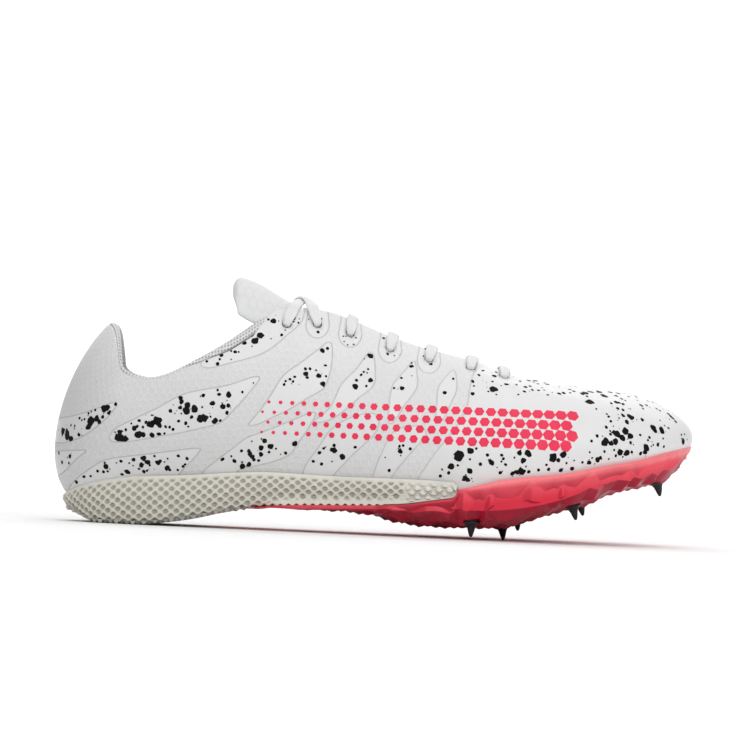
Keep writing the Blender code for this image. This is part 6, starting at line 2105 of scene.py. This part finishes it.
# %% [markdown]
# ## The pins
# Seven screw-in pins of black coated steel. Each is turned: a flange that seats in the plate, a cove, and a
# slim spike with a rounded tip. A profile of radius and length is swept round the pin's own axis.
# %% Places and profile of the pins
PINS = [  # node, station, place across, lean towards the toe in degrees
    ("pin_ball_outer", 0.655, -0.360, 0.0), ("pin_ball_middle", 0.705, -0.010, 7.0),
    ("pin_ball_inner", 0.730, 0.340, 6.0), ("pin_fore_outer", 0.812, -0.255, 16.0),
    ("pin_fore_inner", 0.828, 0.290, 16.0), ("pin_toe_outer", 0.945, -0.010, 16.0),
    ("pin_toe_inner", 0.949, 0.250, 16.0),
]
PIN_PROFILE = [  # radius and length from the flange's seat, in shares of the pin's length
    (0.10, -0.20), (0.343, -0.20), (0.343, 0.0), (0.500, 0.0), (0.545, 0.012), (0.557, 0.040),
    (0.557, 0.085), (0.530, 0.120), (0.470, 0.165), (0.380, 0.235), (0.310, 0.320), (0.262, 0.420),
    (0.228, 0.530), (0.196, 0.650), (0.162, 0.770), (0.125, 0.880), (0.095, 0.950), (0.060, 0.988),
    (0.0, 1.0),
]


def rotation_to(axis):
    helper = np.array([1.0, 0.0, 0.0]) if abs(axis[0]) < 0.9 else np.array([0.0, 1.0, 0.0])
    side = np.cross(helper, axis)
    side = side / np.linalg.norm(side)
    return np.column_stack([side, np.cross(axis, side), axis])


def pin_frame(pin):
    _, station, share, lean = pin
    x, y = place(station), share * BALL_WIDTH
    turn = np.array([float(turn_of_station(station))])
    outer, inner = (float(outline(side, turn)[0][0, 1]) for side in (OUTER, INNER))
    tilt = math.radians(lean)
    seat_rise = PIN_LENGTH * math.cos(math.radians(PINS[1][3])) - float(under_height(place(PINS[1][1])))
    seat = float(under_height(x)) + float(lift(x, y, outer, inner)) + seat_rise
    return np.array([x, y, seat]), np.array([math.sin(tilt), 0.0, -math.cos(tilt)])


# %% Build the pins
def build_pin(pin, material):
    point, axis = pin_frame(pin)
    turned = rotation_to(axis)
    rings = []
    for radius, along in PIN_PROFILE:
        radius = max(radius, 1e-4)
        rings.append([
            point + turned @ np.array([radius * math.cos(a), radius * math.sin(a), along]) * PIN_LENGTH
            for a in np.linspace(0, 2 * math.pi, 28, endpoint=False)
        ])
    made = closed_body(pin[0].replace("pin_", "spike_"), np.array(rings))
    sharp_over(made, 40)
    made.data.materials.append(material)
    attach(made, "root")
    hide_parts(pin[0])
    return made


pin_finish, t, shader = finish("black_steel", (0.022, 0.022, 0.024), 0.34, Metallic=0.6)
grain, clouds = t.grain(4000.0)
t.join(shader.inputs["Roughness"], t.ramp(clouds, 0.3, 0.8, 0.26, 0.5))
colour = t.mix(t.ramp(grain, 0.5, 0.8), (0.02, 0.02, 0.022, 1), (0.06, 0.06, 0.063, 1))
t.join(shader.inputs["Base Color"], colour)
bump(t, shader, grain, 0.00005, 0.4)
pins = [build_pin(pin, pin_finish) for pin in PINS]
print("pins:", len(pins), "of", triangles(pins[0]), "triangles")

# %% Hand the pieces over
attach(shell, "root")
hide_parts("upper")
HANDED = [(lining, "upper", "lining"), (tongue, "tongue", "tongue"), (insole, "insole", "lining")]
HANDED += [(piece, "heel_unit", "heel_foam") for piece in (heel_side_piece, heel_floor, *horns, heel_cones)]
HANDED += [(plate, "spike_plate", "plate")]
HANDED += [(piece, "upper", "upper") for piece in (*spatter, band)]
for piece, node, slot in HANDED:
    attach(piece, "root")
    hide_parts(node)
